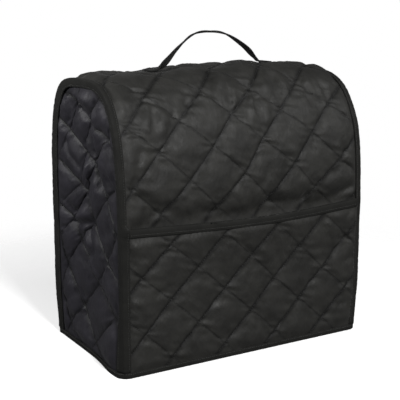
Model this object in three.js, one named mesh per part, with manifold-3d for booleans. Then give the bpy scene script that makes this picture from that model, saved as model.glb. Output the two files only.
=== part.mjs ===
// Quilted fabric cover for a kitchen stand mixer, standing on its hem.
// Millimetres, +Z up, the pocket faces -Y, and the floor is at z = 0.
import * as THREE from 'three';
import { mergeVertices } from 'three/addons/utils/BufferGeometryUtils.js';
import Module from 'manifold-3d';

const wasm = await Module();
wasm.setup();

// Overall sizes, over the seam bindings
const LENGTH = 400;
const DEPTH = 225;
const CLOTH_HEIGHT = 396;
const ARCH_RISE = 228;
const FRONT_POWER = 3.13;
const BACK_POWER = 3.9;

// Cloth, tape and the clearance between two pieces
const GAP = 0.3;
const CLOTH = 2.2;
const TAPE = 2.5;
const PUFF = 3.2;
const INNER_PUFF = 0.6;
const CLOTH_INSET = TAPE + GAP;

// Main panel: it swells above the seams along the top, from RIDGE_STARTS to RIDGE_FULL up each side
const RIDGE_STARTS = 340;
const RIDGE_FULL = 440;
const SEW_MARGIN = 1;

// End panels: how far they hollow in, and how far the lower front corner flares out
const END_PUFF = 4.2;
const END_HOLLOW = 7;
const END_HOLLOW_FADE = [10, 28];
const END_PUFF_FADE = [19, 32];
const END_FLARE = 5;
const FLARE_Y = -80;
const FLARE_WIDTH = 28;
const FLARE_TOP = 110;
const END_EDGE = 14;
const CUTTER_DEPTH = 60;

// Seam binding: a tape folded over each long seam, its wider leg on the end panel
const SEAM_LEG = 9.5;
const SEAM_END_LEG = 12.5;
const SEAM_ROUND = 1.4;
const TAPE_BEVEL = 0.7;

// Hem binding: a tape folded round the lower edge
const HEM_HEIGHT = 8;
const HEM_FLOOR = 1.8;
const HEM_OUTER_LEG = 1.6;
const HEM_INNER_LEG = 1.4;
const HEM_CORNER = 4;
const CORNER_WALLS = [0.8, 1.9];
const CLOTH_FOOT = HEM_FLOOR + GAP;
const CLOTH_START = HEM_HEIGHT + 0.8;

// Pocket: a second cloth over the lower front, its mouth standing a little open
const POCKET_TOP = 207.5;
const POCKET_SAG = 5.5;
const POCKET_GAPE = 10;
const MOUTH_STANDOFF = 2;
const MOUTH_STARTS = 110;
const STANDOFF_STARTS = 130;
const POCKET_TAPE_HEIGHT = 12;
const POCKET_TAPE = 1.4;
const ABOVE_POCKET = [POCKET_TOP + 4, POCKET_TOP + 18];

// Handle: flat webbing
const WEBBING_WIDTH = 25;
const WEBBING = 1.8;
const HANDLE_Y = 8;
const HANDLE_FOOT = 16;
const HANDLE_SEWN = 4;
const HANDLE_CLEARANCE = 0.9;
const HANDLE_STEPS = 44;

// Mesh steps
const OUTLINE_STEPS = 62;
const WIDTH_STEPS = 30;
const POCKET_ROWS = 14;
const END_COLUMNS = 16;
const END_ROWS = 28;
const SNAP_REACH = 0.11;
const POCKET_SNAP_REACH = 0.09;

const HALF = LENGTH / 2;
const SEAM_EDGE = HALF - SEAM_LEG - GAP;
const END_OUTER = HALF - CLOTH_INSET;
const MAIN_EDGE = END_OUTER - CLOTH - SEW_MARGIN;
const FRONT = DEPTH / 2;

// Quilting: stitch lines run both ways from one crossing, a step to the next crossing each way
const QUILT_MAIN = { across: -148.4, up: 461.7, right: [45.3, -38.6], left: [-39.6, -41.9] };
const QUILT_POCKET = { across: -41.8, up: 184, right: [43.8, -38.8], left: [-41.6, -42.3] };
const QUILT_END = { across: -37.5, up: 284, right: [42, -41], left: [-42, -41] };

// Swell of the main panel over the seam line along the top, by place along the cover
const RIDGE = [
  { x: -190, rise: 0 },
  { x: -177, rise: 5 },
  { x: -155, rise: 6 },
  { x: -123, rise: 6 },
  { x: -89, rise: 7 },
  { x: -61, rise: 9 },
  { x: -32, rise: 12 },
  { x: 0, rise: 12.5 },
  { x: 36, rise: 13.5 },
  { x: 72, rise: 15 },
  { x: 126, rise: 12 },
  { x: 151, rise: 10.5 },
  { x: 172, rise: 9.5 },
  { x: 178, rise: 8 },
  { x: 190, rise: 0 },
];

// Folds, each a soft trough (height below zero) or ridge along a line from one point to another
const FOLDS_MAIN = [
  { name: 'hollow over the mouth', from: [96, 222], to: [150, 236], width: 20, height: -5 },
  { name: 'ridge beside it', from: [166, 220], to: [178, 254], width: 11, height: 2.5 },
  { name: 'dip at the left', from: [-150, 228], to: [-118, 220], width: 14, height: -3.5 },
  { name: 'dip between the handle feet', from: [-6, 452], to: [18, 486], width: 20, height: -3 },
  { name: 'dip right of the handle', from: [152, 428], to: [128, 500], width: 12, height: -2.5 },
  { name: 'slack on the back', from: [-60, 620], to: [70, 590], width: 26, height: -4 },
];
const FOLDS_SEAM = [
  { name: 'sunk right shoulder', from: [HALF, 372], to: [HALF, 402], width: 36, height: -4.5 },
];
const FOLDS_LEFT = [
  { name: 'upper crossing fold', from: [78, 352], to: [-38, 276], width: 11, height: -6 },
  { name: 'shoulder fold', from: [-92, 336], to: [-44, 282], width: 11, height: -5 },
  { name: 'middle crease', from: [6, 262], to: [-14, 190], width: 12, height: -6 },
  { name: 'front pucker', from: [-92, 252], to: [-62, 234], width: 12, height: -5 },
  { name: 'lower crossing fold', from: [70, 160], to: [-20, 196], width: 13, height: -5 },
  { name: 'long lower crease', from: [52, 126], to: [-74, 96], width: 14, height: -5 },
];
const FOLDS_RIGHT = [
  { name: 'upper fold', from: [-70, 342], to: [30, 292], width: 13, height: -5 },
  { name: 'middle crease', from: [20, 256], to: [-12, 176], width: 14, height: -6 },
  { name: 'lower fold', from: [-64, 138], to: [52, 104], width: 15, height: -5 },
];

// Handle stations along the strap: place along the cover, height, and turn about its own length
const HANDLE_STATIONS = [
  { x: -82, z: 400, turn: 0 },
  { x: -68, z: 410, turn: -28 },
  { x: -45.2, z: 431.1, turn: -31 },
  { x: -18.7, z: 450.9, turn: -15 },
  { x: 10.5, z: 454.8, turn: -4 },
  { x: 38.9, z: 449.4, turn: 8 },
  { x: 69.9, z: 434, turn: 4 },
  { x: 88, z: 417, turn: 8 },
  { x: 99, z: 404, turn: 0 },
];

const smooth = (value, from, to) => THREE.MathUtils.smoothstep(value, from, to);

// The cover's arched outline, from the front floor over the top to the back floor.
// Returns a function that gives the point and outward normal at a distance along it.
function makeOutline() {
  const straight = CLOTH_HEIGHT - ARCH_RISE;
  const samples = 3000;
  const points = [{ y: -FRONT, z: 0, ny: -1, nz: 0, s: 0 }];
  for (let i = 0; i <= samples; i++) {
    const angle = Math.PI * (1 - i / samples);
    const c = Math.cos(angle);
    const power = c < 0 ? FRONT_POWER : BACK_POWER;
    const w = Math.sign(c) * Math.abs(c) ** (2 / power);
    const h = Math.abs(Math.sin(angle)) ** (2 / power);
    const ny = Math.sign(w) * Math.abs(w) ** (power - 1) / FRONT;
    const nz = h ** (power - 1) / ARCH_RISE;
    const size = Math.hypot(ny, nz);
    points.push({ y: FRONT * w, z: straight + ARCH_RISE * h, ny: ny / size, nz: nz / size });
  }
  points.push({ y: FRONT, z: 0, ny: 1, nz: 0 });
  for (let i = 1; i < points.length; i++) {
    const a = points[i - 1];
    points[i].s = a.s + Math.hypot(points[i].y - a.y, points[i].z - a.z);
  }
  const length = points[points.length - 1].s;
  function at(s, lift = 0) {
    let low = 0;
    let high = points.length - 1;
    while (high - low > 1) {
      const middle = (low + high) >> 1;
      if (points[middle].s <= s) low = middle;
      else high = middle;
    }
    const a = points[low];
    const b = points[high];
    const t = (s - a.s) / (b.s - a.s);
    const mix = (key) => a[key] + (b[key] - a[key]) * t;
    const size = Math.hypot(mix('ny'), mix('nz'));
    const ny = mix('ny') / size;
    const nz = mix('nz') / size;
    return { y: mix('y') + ny * lift, z: mix('z') + nz * lift, ny, nz };
  }
  return { at, length };
}
const outline = makeOutline();

// Shared stations along the outline, so that neighbouring pieces have parallel facets
const STATIONS = [CLOTH_FOOT];
for (let i = 0; i <= OUTLINE_STEPS; i++) {
  const span = outline.length - 2 * CLOTH_START;
  STATIONS.push(CLOTH_START + (span * i) / OUTLINE_STEPS);
}
STATIONS.push(outline.length - CLOTH_FOOT);

// Place in the stitch lattice: whole numbers lie on a stitch line
function latticePlace(quilt, across, up) {
  const [rx, ry] = quilt.right;
  const [lx, ly] = quilt.left;
  const area = rx * ly - ry * lx;
  const dx = across - quilt.across;
  const dy = up - quilt.up;
  return [(dx * ly - dy * lx) / area, (rx * dy - ry * dx) / area];
}

// Height of the puff between stitch lines, 0 on a line and 1 in the middle of a diamond
function puffHeight(quilt, across, up) {
  const [a, b] = latticePlace(quilt, across, up);
  return (Math.abs(Math.sin(Math.PI * a)) * Math.abs(Math.sin(Math.PI * b))) ** 0.6;
}

// A grid point that lies close to a stitch line is moved onto it
function snapToStitch(quilt, across, up, reach = SNAP_REACH) {
  const place = latticePlace(quilt, across, up).map((value) => {
    const line = Math.round(value);
    return Math.abs(value - line) < reach ? line : value;
  });
  return [
    quilt.across + quilt.right[0] * place[0] + quilt.left[0] * place[1],
    quilt.up + quilt.right[1] * place[0] + quilt.left[1] * place[1],
  ];
}

function foldHeight(folds, across, up) {
  let height = 0;
  for (const fold of folds) {
    const [x, y] = fold.from;
    const dx = fold.to[0] - x;
    const dy = fold.to[1] - y;
    const t = ((across - x) * dx + (up - y) * dy) / (dx * dx + dy * dy);
    const near = THREE.MathUtils.clamp(t, 0, 1);
    const away = Math.hypot(across - x - dx * near, up - y - dy * near);
    height += fold.height * Math.exp(-((away / fold.width) ** 2));
  }
  return height;
}

// Height of the swell at full strength; it is nothing under the seam tapes
function ridgeRise(x) {
  for (let k = 1; k < RIDGE.length; k++) {
    const [last, next] = [RIDGE[k - 1], RIDGE[k]];
    const share = (x - last.x) / (next.x - last.x);
    if (share <= 1) return last.rise + (next.rise - last.rise) * Math.max(0, share);
  }
  return 0;
}

// How far the cover stands off the plain outline; pieces that meet at a seam share one value there
function swell(x, s) {
  const seamX = x > SEAM_EDGE - 1 ? HALF : x;
  const share = smooth(Math.min(s, outline.length - s), RIDGE_STARTS, RIDGE_FULL);
  return ridgeRise(x) * share + foldHeight(FOLDS_SEAM, seamX, s);
}

// Turns an indexed triangle list into a geometry whose faces point out
function toGeometry(points, triangles) {
  let volume = 0;
  for (const [a, b, c] of triangles) {
    const [p, q, r] = [points[a], points[b], points[c]];
    volume += p.dot(new THREE.Vector3().crossVectors(q, r));
  }
  const faces = volume > 0 ? triangles : triangles.map(([a, b, c]) => [a, c, b]);
  const geometry = new THREE.BufferGeometry();
  const numbers = points.flatMap((p) => p.toArray());
  geometry.setAttribute('position', new THREE.Float32BufferAttribute(numbers, 3));
  geometry.setIndex(faces.flat());
  geometry.computeVertexNormals();
  return geometry;
}

// A closed cloth: an outer grid, an inner grid with every step or every second one, and the rim.
// point(i, j) gives { outer, inner, low }, where low is small on a stitch line.
function clothSheet(rows, columns, innerStep, point) {
  const grid = [];
  const points = [];
  for (let i = 0; i <= rows; i++) {
    grid.push([]);
    for (let j = 0; j <= columns; j++) {
      const made = point(i, j);
      grid[i].push({ outer: points.push(made.outer) - 1, low: made.low, made });
    }
  }
  for (let i = 0; i <= rows; i += innerStep) {
    for (let j = 0; j <= columns; j += innerStep) {
      grid[i][j].inner = points.push(grid[i][j].made.inner) - 1;
    }
  }
  const triangles = [];
  const quad = (a, b, c, d, alongAC) => {
    if (alongAC) triangles.push([a, b, c], [a, c, d]);
    else triangles.push([a, b, d], [b, c, d]);
  };
  for (let i = 0; i < rows; i++) {
    for (let j = 0; j < columns; j++) {
      const [a, b, c, d] = [grid[i][j], grid[i][j + 1], grid[i + 1][j + 1], grid[i + 1][j]];
      quad(a.outer, b.outer, c.outer, d.outer, a.low + c.low <= b.low + d.low);
    }
  }
  for (let i = 0; i < rows; i += innerStep) {
    for (let j = 0; j < columns; j += innerStep) {
      const [a, b] = [grid[i][j], grid[i][j + innerStep]];
      const [c, d] = [grid[i + innerStep][j + innerStep], grid[i + innerStep][j]];
      quad(a.inner, d.inner, c.inner, b.inner, true);
    }
  }
  const rim = [];
  for (let j = 0; j < columns; j++) rim.push(grid[0][j]);
  for (let i = 0; i < rows; i++) rim.push(grid[i][columns]);
  for (let j = columns; j > 0; j--) rim.push(grid[rows][j]);
  for (let i = rows; i > 0; i--) rim.push(grid[i][0]);
  for (let k = 0; k < rim.length; k += innerStep) {
    const start = rim[k];
    const end = rim[(k + innerStep) % rim.length];
    for (let m = 0; m < innerStep; m++) {
      triangles.push([rim[(k + m + 1) % rim.length].outer, rim[k + m].outer, start.inner]);
    }
    triangles.push([end.outer, start.inner, end.inner]);
  }
  return toGeometry(points, triangles);
}

// A closed solid through sections with equal point counts; a ring of sections needs no caps
function loft(sections, isRing, capShape) {
  const count = sections[0].length;
  const points = sections.flat();
  const triangles = [];
  const last = isRing ? sections.length : sections.length - 1;
  for (let i = 0; i < last; i++) {
    const here = i * count;
    const next = ((i + 1) % sections.length) * count;
    for (let k = 0; k < count; k++) {
      const n = (k + 1) % count;
      triangles.push([here + k, here + n, next + n], [here + k, next + n, next + k]);
    }
  }
  if (!isRing) {
    const end = (sections.length - 1) * count;
    const shape = capShape.map(([u, v]) => new THREE.Vector2(u, v));
    const isReversed = THREE.ShapeUtils.isClockWise(shape);
    for (const [p, q, r] of THREE.ShapeUtils.triangulateShape(shape, [])) {
      const [u, v] = isReversed ? [r, q] : [q, r];
      triangles.push([p, v, u], [end + p, end + u, end + v]);
    }
  }
  return toGeometry(points, triangles);
}

function toManifold(geometry) {
  const bare = geometry.clone();
  bare.deleteAttribute('normal');
  bare.deleteAttribute('uv');
  const merged = mergeVertices(bare, 1e-4);
  return new wasm.Manifold(new wasm.Mesh({
    numProp: 3,
    vertProperties: new Float32Array(merged.attributes.position.array),
    triVerts: new Uint32Array(merged.index.array),
  }));
}

function fromManifold(solid) {
  const mesh = solid.getMesh();
  const geometry = new THREE.BufferGeometry();
  geometry.setAttribute('position', new THREE.BufferAttribute(new Float32Array(mesh.vertProperties), 3));
  geometry.setIndex(new THREE.BufferAttribute(new Uint32Array(mesh.triVerts), 1));
  geometry.computeVertexNormals();
  return geometry;
}

// How far a place on an end panel lies inside the seam's ridge line
function insideOutline(side, y, z) {
  const ridge = STATIONS.map((s) => outline.at(s, swell(side * HALF, s)));
  let best = Infinity;
  for (let k = 0; k < ridge.length - 1; k++) {
    const p = ridge[k];
    const q = ridge[k + 1];
    const [dy, dz] = [q.y - p.y, q.z - p.z];
    const t = THREE.MathUtils.clamp(((y - p.y) * dy + (z - p.z) * dz) / (dy * dy + dz * dz), 0, 1);
    best = Math.min(best, Math.hypot(y - p.y - dy * t, z - p.z - dz * t));
  }
  return best;
}

// Each end panel hollows inwards between its seams; `inside` is the distance from the seam's ridge
function endHollow(y, z, inside) {
  const widthPart = Math.max(0, 1 - (y / (FRONT - 8)) ** 2) ** 1.5;
  const heightPart = 0.25 + 0.75 * smooth(z, 0, 90);
  const hollow = END_HOLLOW * widthPart * heightPart * (1 - smooth(z, 300, 372));
  return hollow * smooth(inside, ...END_HOLLOW_FADE);
}

// Its lower front corner flares outwards, from the edge of the seam tape on
function endFlare(y, z, inside) {
  const flare = END_FLARE * Math.exp(-(((y - FLARE_Y) / FLARE_WIDTH) ** 2));
  return flare * (1 - smooth(z, 0, FLARE_TOP)) * smooth(inside, END_EDGE, 2 * END_EDGE);
}

function mainPanel() {
  const columns = [-MAIN_EDGE];
  for (let j = 0; j <= WIDTH_STEPS; j++) columns.push(SEAM_EDGE * ((2 * j) / WIDTH_STEPS - 1));
  columns.push(MAIN_EDGE);
  const rows = STATIONS.length - 1;
  return clothSheet(rows, columns.length - 1, 2, (i, j) => {
    let x = columns[j];
    let s = STATIONS[i];
    const isRim = i < 2 || i > rows - 2 || j < 2 || j > columns.length - 3;
    const behindPocket = 1 - smooth(s, ...ABOVE_POCKET);
    if (!isRim && behindPocket === 0) [x, s] = snapToStitch(QUILT_MAIN, x, s);
    const puff = isRim ? 0 : puffHeight(QUILT_MAIN, x, s);
    const free = (1 - behindPocket) * (1 - underHandle(x, s));
    const fold = isRim ? 0 : foldHeight(FOLDS_MAIN, x, s) * (1 - behindPocket);
    const middle = swell(x, s) + fold - CLOTH_INSET;
    const outer = outline.at(s, middle + PUFF * puff * free);
    const inner = outline.at(s, middle - CLOTH - INNER_PUFF * puff);
    return {
      outer: new THREE.Vector3(x, outer.y, outer.z),
      inner: new THREE.Vector3(x, inner.y, inner.z),
      low: puff,
    };
  });
}

// 1 where a handle foot is sewn flat to the top, 0 away from it
function underHandle(x, s) {
  const first = HANDLE_STATIONS[0].x;
  const last = HANDLE_STATIONS[HANDLE_STATIONS.length - 1].x;
  const top = outline.length / 2 + HANDLE_Y;
  const across = 1 - smooth(Math.abs(s - top), WEBBING_WIDTH / 2 + 8, WEBBING_WIDTH / 2 + 22);
  const footMiddle = HANDLE_FOOT / 2 - HANDLE_SEWN;
  const away = Math.min(Math.abs(x - first + footMiddle), Math.abs(x - last - footMiddle));
  return across * (1 - smooth(away, HANDLE_FOOT / 2 + 14, HANDLE_FOOT / 2 + 28));
}

// Shared columns of an end panel and of the hem under it, between the seam tapes
function endColumns() {
  const edge = FRONT - END_EDGE;
  const spacing = (2 * edge) / (END_COLUMNS - 2);
  return Array.from({ length: END_COLUMNS - 1 }, (_, j) => spacing * j - edge);
}

function endPanel(side, folds) {
  const columns = [-FRONT, ...endColumns(), FRONT];
  const levels = [CLOTH_FOOT, CLOTH_START];
  const step = (CLOTH_HEIGHT + 4 - CLOTH_START) / (END_ROWS - 1);
  for (let i = 1; i < END_ROWS; i++) levels.push(CLOTH_START + step * i);
  const sheet = clothSheet(levels.length - 1, columns.length - 1, 1, (i, j) => {
    let y = columns[j];
    let z = levels[i];
    const isRim = i < 2 || j < 2 || j > columns.length - 3 || i > levels.length - 2;
    if (!isRim) [y, z] = snapToStitch(QUILT_END, y, z);
    const inside = insideOutline(side, y, z);
    const fade = z < CLOTH_HEIGHT - 6 ? smooth(inside, ...END_PUFF_FADE) : 0;
    const puff = i < 2 ? 0 : puffHeight(QUILT_END, y, z) * fade;
    const middle = END_OUTER - endHollow(y, z, inside) + endFlare(y, z, inside)
      + foldHeight(folds, y, z) * fade;
    return {
      outer: new THREE.Vector3(side * (middle + END_PUFF * puff), y, z),
      inner: new THREE.Vector3(side * (middle - CLOTH - INNER_PUFF * puff), y, z),
      low: puff,
    };
  });
  const shape = new THREE.Shape(STATIONS.map((s) => {
    const p = outline.at(s, swell(side * HALF, s) - CLOTH_INSET);
    return new THREE.Vector2(p.y, p.z);
  }));
  const cutter = new THREE.ExtrudeGeometry(shape, { depth: CUTTER_DEPTH, bevelEnabled: false });
  cutter.applyMatrix4(new THREE.Matrix4().makeBasis(
    new THREE.Vector3(0, 1, 0), new THREE.Vector3(0, 0, 1), new THREE.Vector3(1, 0, 0)));
  cutter.translate(side * END_OUTER - CUTTER_DEPTH / 2, 0, 0);
  return fromManifold(toManifold(sheet).intersect(toManifold(cutter)));
}

// The tape over a seam: one leg on the main panel, one on the end panel, its ridge at the corner
function seamBinding(side) {
  const section = [
    [-SEAM_LEG, -TAPE],
    [-SEAM_LEG, -TAPE_BEVEL],
    [-SEAM_ROUND, 0],
    [-0.3 * SEAM_ROUND, -0.3 * SEAM_ROUND],
    [0, -SEAM_ROUND],
    [-TAPE_BEVEL, -SEAM_END_LEG],
    [-TAPE, -SEAM_END_LEG],
    [-TAPE, -TAPE],
  ];
  const start = HEM_HEIGHT + GAP;
  const end = outline.length - start;
  const straightEnd = CLOTH_HEIGHT - ARCH_RISE - 30;
  const inner = STATIONS.filter((s) => s > straightEnd && s < outline.length - straightEnd);
  const lower = [start, start + straightEnd / 2, straightEnd - 10];
  const stations = [...lower, ...inner, ...lower.map((s) => start + end - s).reverse()];
  const sections = stations.map((s) => section.map(([out, lift]) => {
    const p = outline.at(s, swell(side * HALF, s) + lift);
    return new THREE.Vector3(side * (HALF + out), p.y, p.z);
  }));
  return loft(sections, false, section);
}

// How far the pocket stands off the main panel
function pocketLean(x, z) {
  const rise = smooth(z, MOUTH_STARTS, POCKET_TOP);
  const share = THREE.MathUtils.clamp((x / SEAM_EDGE + 1) / 2, 0, 1);
  const wide = Math.sin(Math.PI * share ** 1.35) ** 1.3;
  const standoff = MOUTH_STANDOFF * smooth(z, STANDOFF_STARTS, POCKET_TOP - POCKET_TAPE_HEIGHT);
  return standoff + (POCKET_GAPE - MOUTH_STANDOFF) * rise * wide;
}

function pocketTop(x) {
  return POCKET_TOP - POCKET_SAG * Math.cos((Math.PI * x) / (2 * SEAM_EDGE));
}

function pocketPanel() {
  const columns = WIDTH_STEPS;
  const rows = POCKET_ROWS + 2;
  return clothSheet(rows, columns, 1, (i, j) => {
    let x = SEAM_EDGE * ((2 * j) / columns - 1);
    const clothTop = pocketTop(x) - POCKET_TAPE - GAP;
    const tapeFoot = clothTop - POCKET_TAPE_HEIGHT + 0.5;
    let z = CLOTH_FOOT;
    if (i === rows) z = clothTop;
    else if (i > 0) z = CLOTH_START + ((tapeFoot - CLOTH_START) * (i - 1)) / POCKET_ROWS;
    const isRim = i < 2 || i > rows - 2 || j < 1 || j > columns - 1;
    if (!isRim) [x, z] = snapToStitch(QUILT_POCKET, x, z, POCKET_SNAP_REACH);
    const puff = isRim ? 0 : puffHeight(QUILT_POCKET, x, z);
    const back = FRONT - TAPE + pocketLean(x, z);
    return {
      outer: new THREE.Vector3(x, -(back + CLOTH + PUFF * puff), z),
      inner: new THREE.Vector3(x, -back, z),
      low: puff,
    };
  });
}

function pocketBinding() {
  const leg = GAP + POCKET_TAPE;
  const foot = -POCKET_TAPE_HEIGHT;
  const section = [
    [CLOTH + leg, foot],
    [CLOTH + leg, -TAPE_BEVEL],
    [CLOTH + leg - TAPE_BEVEL, 0],
    [TAPE_BEVEL - leg, 0],
    [-leg, -TAPE_BEVEL],
    [-leg, foot],
    [-GAP, foot],
    [-GAP, -POCKET_TAPE],
    [CLOTH + GAP, -POCKET_TAPE],
    [CLOTH + GAP, foot],
  ];
  const sections = [];
  for (let j = 0; j <= WIDTH_STEPS; j++) {
    const x = SEAM_EDGE * ((2 * j) / WIDTH_STEPS - 1);
    const top = pocketTop(x);
    sections.push(section.map(([out, up]) => {
      const z = top + up;
      return new THREE.Vector3(x, -(FRONT - TAPE + pocketLean(x, z) + out), z);
    }));
  }
  return loft(sections, false, section);
}

// The tape round the lower edge: a channel that the cloths stand in, flat on the floor
function hemBinding() {
  const stations = [];
  const x0 = END_OUTER;
  const y0 = FRONT - CLOTH_INSET;
  const overPocket = CLOTH + 2 * GAP;
  const add = (x, y, nx, ny, wall) => stations.push({ x, y, nx, ny, wall });
  const straight = (fromX, fromY, toX, toY, nx, ny, wall, steps) => {
    for (let k = 1; k < steps; k++) {
      const t = k / steps;
      add(fromX + (toX - fromX) * t, fromY + (toY - fromY) * t, nx, ny, wall);
    }
  };
  const arc = (sx, sy, from, walls) => {
    walls.forEach((wall, k) => {
      const angle = from + ((Math.PI / 2) * k) / (walls.length - 1);
      const [c, s] = [Math.cos(angle), Math.sin(angle)];
      add(sx * (x0 - HEM_CORNER) + HEM_CORNER * c, sy * (y0 - HEM_CORNER) + HEM_CORNER * s, c, s, wall);
    });
  };
  const frontCorner = [overPocket, overPocket, overPocket, CORNER_WALLS[1], CORNER_WALLS[0]];
  const backCorner = [...CORNER_WALLS, overPocket, ...[...CORNER_WALLS].reverse()];
  const [rx, ry] = [x0 - HEM_CORNER, y0 - HEM_CORNER];
  const onEnd = (side) => (y) => add(side * x0, y, side, 0, GAP);
  arc(1, -1, -Math.PI / 2, frontCorner);
  endColumns().forEach(onEnd(1));
  arc(1, 1, 0, backCorner);
  straight(rx, y0, -rx, y0, 0, 1, GAP, 6);
  arc(-1, 1, Math.PI / 2, backCorner);
  endColumns().reverse().forEach(onEnd(-1));
  arc(-1, -1, Math.PI, [...frontCorner].reverse());
  straight(-rx, -y0, rx, -y0, 0, -1, overPocket, 8);
  const sections = stations.map(({ x, y, nx, ny, wall }) => {
    const inside = FRONT - Math.abs(y);
    const bow = Math.abs(nx) > 0.99 ? endHollow(y, 0, inside) - endFlare(y, 0, inside) : 0;
    const out = wall + HEM_OUTER_LEG;
    const back = -CLOTH - GAP;
    const section = [
      [out - 0.6, 0],
      [out, 0.8],
      [out, HEM_HEIGHT],
      [wall, HEM_HEIGHT],
      [wall, HEM_FLOOR],
      [back, HEM_FLOOR],
      [back, HEM_HEIGHT],
      [back - HEM_INNER_LEG, HEM_HEIGHT],
      [back - HEM_INNER_LEG, 0],
    ];
    return section.map(([n, z]) => new THREE.Vector3(x + nx * (n - bow), y + ny * n, z));
  });
  return loft(sections, true);
}

// The strap stands on two feet that lie flat on the top, and turns on its way over
function handle() {
  const first = HANDLE_STATIONS[0];
  const last = HANDLE_STATIONS[HANDLE_STATIONS.length - 1];
  const onTop = (x) => {
    const s = outline.length / 2 + HANDLE_Y;
    const z = outline.at(s, swell(x, s) - CLOTH_INSET).z + WEBBING / 2 + HANDLE_CLEARANCE;
    return { x, z, turn: 0 };
  };
  const stations = [
    onTop(first.x - HANDLE_FOOT + HANDLE_SEWN),
    onTop(first.x - HANDLE_SEWN),
    ...HANDLE_STATIONS.slice(1, -1),
    onTop(last.x + HANDLE_SEWN),
    onTop(last.x + HANDLE_FOOT - HANDLE_SEWN),
  ];
  const places = stations.map(({ x, z, turn }) => new THREE.Vector3(x, turn, z));
  const path = new THREE.CatmullRomCurve3(places, false, 'centripetal');
  const sections = [];
  for (let k = 0; k <= HANDLE_STEPS; k++) {
    const here = path.getPoint(k / HANDLE_STEPS);
    const turn = THREE.MathUtils.degToRad(here.y);
    const ahead = path.getTangent(k / HANDLE_STEPS);
    const along = new THREE.Vector3(ahead.x, 0, ahead.z).normalize();
    const side = new THREE.Vector3(0, 1, 0);
    const up = new THREE.Vector3().crossVectors(along, side);
    const wide = side.clone().multiplyScalar(Math.cos(turn)).addScaledVector(up, Math.sin(turn));
    const thick = new THREE.Vector3().crossVectors(along, wide);
    const centre = new THREE.Vector3(here.x, HANDLE_Y, Math.max(here.z, onTop(here.x).z));
    const corner = (a, b) => centre.clone()
      .addScaledVector(wide, (a * WEBBING_WIDTH) / 2).addScaledVector(thick, (b * WEBBING) / 2);
    sections.push([corner(-1, -1), corner(1, -1), corner(1, 1), corner(-1, 1)]);
  }
  return loft(sections, false, [[-1, -1], [1, -1], [1, 1], [-1, 1]]);
}

const cloth = { color: 0x2c2c2c, roughness: 0.5, metalness: 0 };
const endCloth = { color: 0x29282c, roughness: 0.5, metalness: 0 };
const tape = { color: 0x1e1e1b, roughness: 0.8, metalness: 0 };
const webbing = { color: 0x242423, roughness: 0.85, metalness: 0 };

const group = new THREE.Group();
function addPiece(name, geometry, finish) {
  const mesh = new THREE.Mesh(geometry, new THREE.MeshStandardMaterial(finish));
  mesh.name = name;
  group.add(mesh);
}

addPiece('main_panel', mainPanel(), cloth);
addPiece('end_panel_left', endPanel(-1, FOLDS_LEFT), endCloth);
addPiece('end_panel_right', endPanel(1, FOLDS_RIGHT), endCloth);
addPiece('seam_binding_left', seamBinding(-1), tape);
addPiece('seam_binding_right', seamBinding(1), tape);
addPiece('pocket_panel', pocketPanel(), cloth);
addPiece('pocket_binding', pocketBinding(), tape);
addPiece('hem_binding', hemBinding(), tape);
addPiece('handle', handle(), webbing);

// The origin is under the middle of the whole cover
const box = new THREE.Box3().setFromObject(group);
group.position.set(-(box.min.x + box.max.x) / 2, -(box.min.y + box.max.y) / 2, 0);

export default group;
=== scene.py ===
# %% [markdown]
# # A quilted cover for a stand mixer
# The real cover is sewn from black quilted polyester: one long cloth that runs up the front, over the
# arched top and down the back, two arched end panels, a pocket cloth on the front, tape folded over every
# raw edge and a webbing handle. This lesson models each of those pieces as its own mesh, over a CAD model
# of the same cover that is already at its real size. All helper functions work in millimetres, because a
# maker thinks in them, and only the last step of each piece turns them into Blender's metres.

import bisect
import math

import bmesh
import bpy
import numpy
from mathutils import Matrix, Vector, noise


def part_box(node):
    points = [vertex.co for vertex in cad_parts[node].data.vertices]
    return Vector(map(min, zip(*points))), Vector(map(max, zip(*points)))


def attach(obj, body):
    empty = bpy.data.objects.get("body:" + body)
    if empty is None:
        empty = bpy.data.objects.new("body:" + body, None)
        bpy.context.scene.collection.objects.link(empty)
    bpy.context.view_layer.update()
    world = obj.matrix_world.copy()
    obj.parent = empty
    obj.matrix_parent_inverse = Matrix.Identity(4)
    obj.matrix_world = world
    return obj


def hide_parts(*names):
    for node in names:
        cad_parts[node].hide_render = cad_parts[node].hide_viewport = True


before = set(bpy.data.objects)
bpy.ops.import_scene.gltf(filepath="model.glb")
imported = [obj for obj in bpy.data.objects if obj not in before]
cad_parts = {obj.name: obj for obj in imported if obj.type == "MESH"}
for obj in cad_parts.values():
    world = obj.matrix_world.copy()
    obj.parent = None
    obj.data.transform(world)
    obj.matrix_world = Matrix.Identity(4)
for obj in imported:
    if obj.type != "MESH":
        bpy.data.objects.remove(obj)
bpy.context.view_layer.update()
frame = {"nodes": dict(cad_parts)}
noise.seed_set(1)  # so that every run scatters the stitch lines alike
MM = 0.001

# %% [markdown]
# ## The camera
# The camera comes first, so that every piece can be judged in the same view as it is made. Its place, turn
# and lens were solved from the straight edges of the cover. A long lens from well back keeps the uprights
# nearly parallel, as product photographs do.

# %% The camera
CAMERA_PLACE = (-0.730999, -1.191898, 0.504522)
CAMERA_TURN = math.radians(30.9596)
CAMERA_TILT = math.radians(12.0356)
CAMERA_LENS = 85.762
CAMERA_SENSOR = 36.0
CAMERA_RANGE = (0.05, 50.0)


def add_object(name, data):
    thing = bpy.data.objects.new(name, data)
    bpy.context.scene.collection.objects.link(thing)
    return thing


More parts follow.
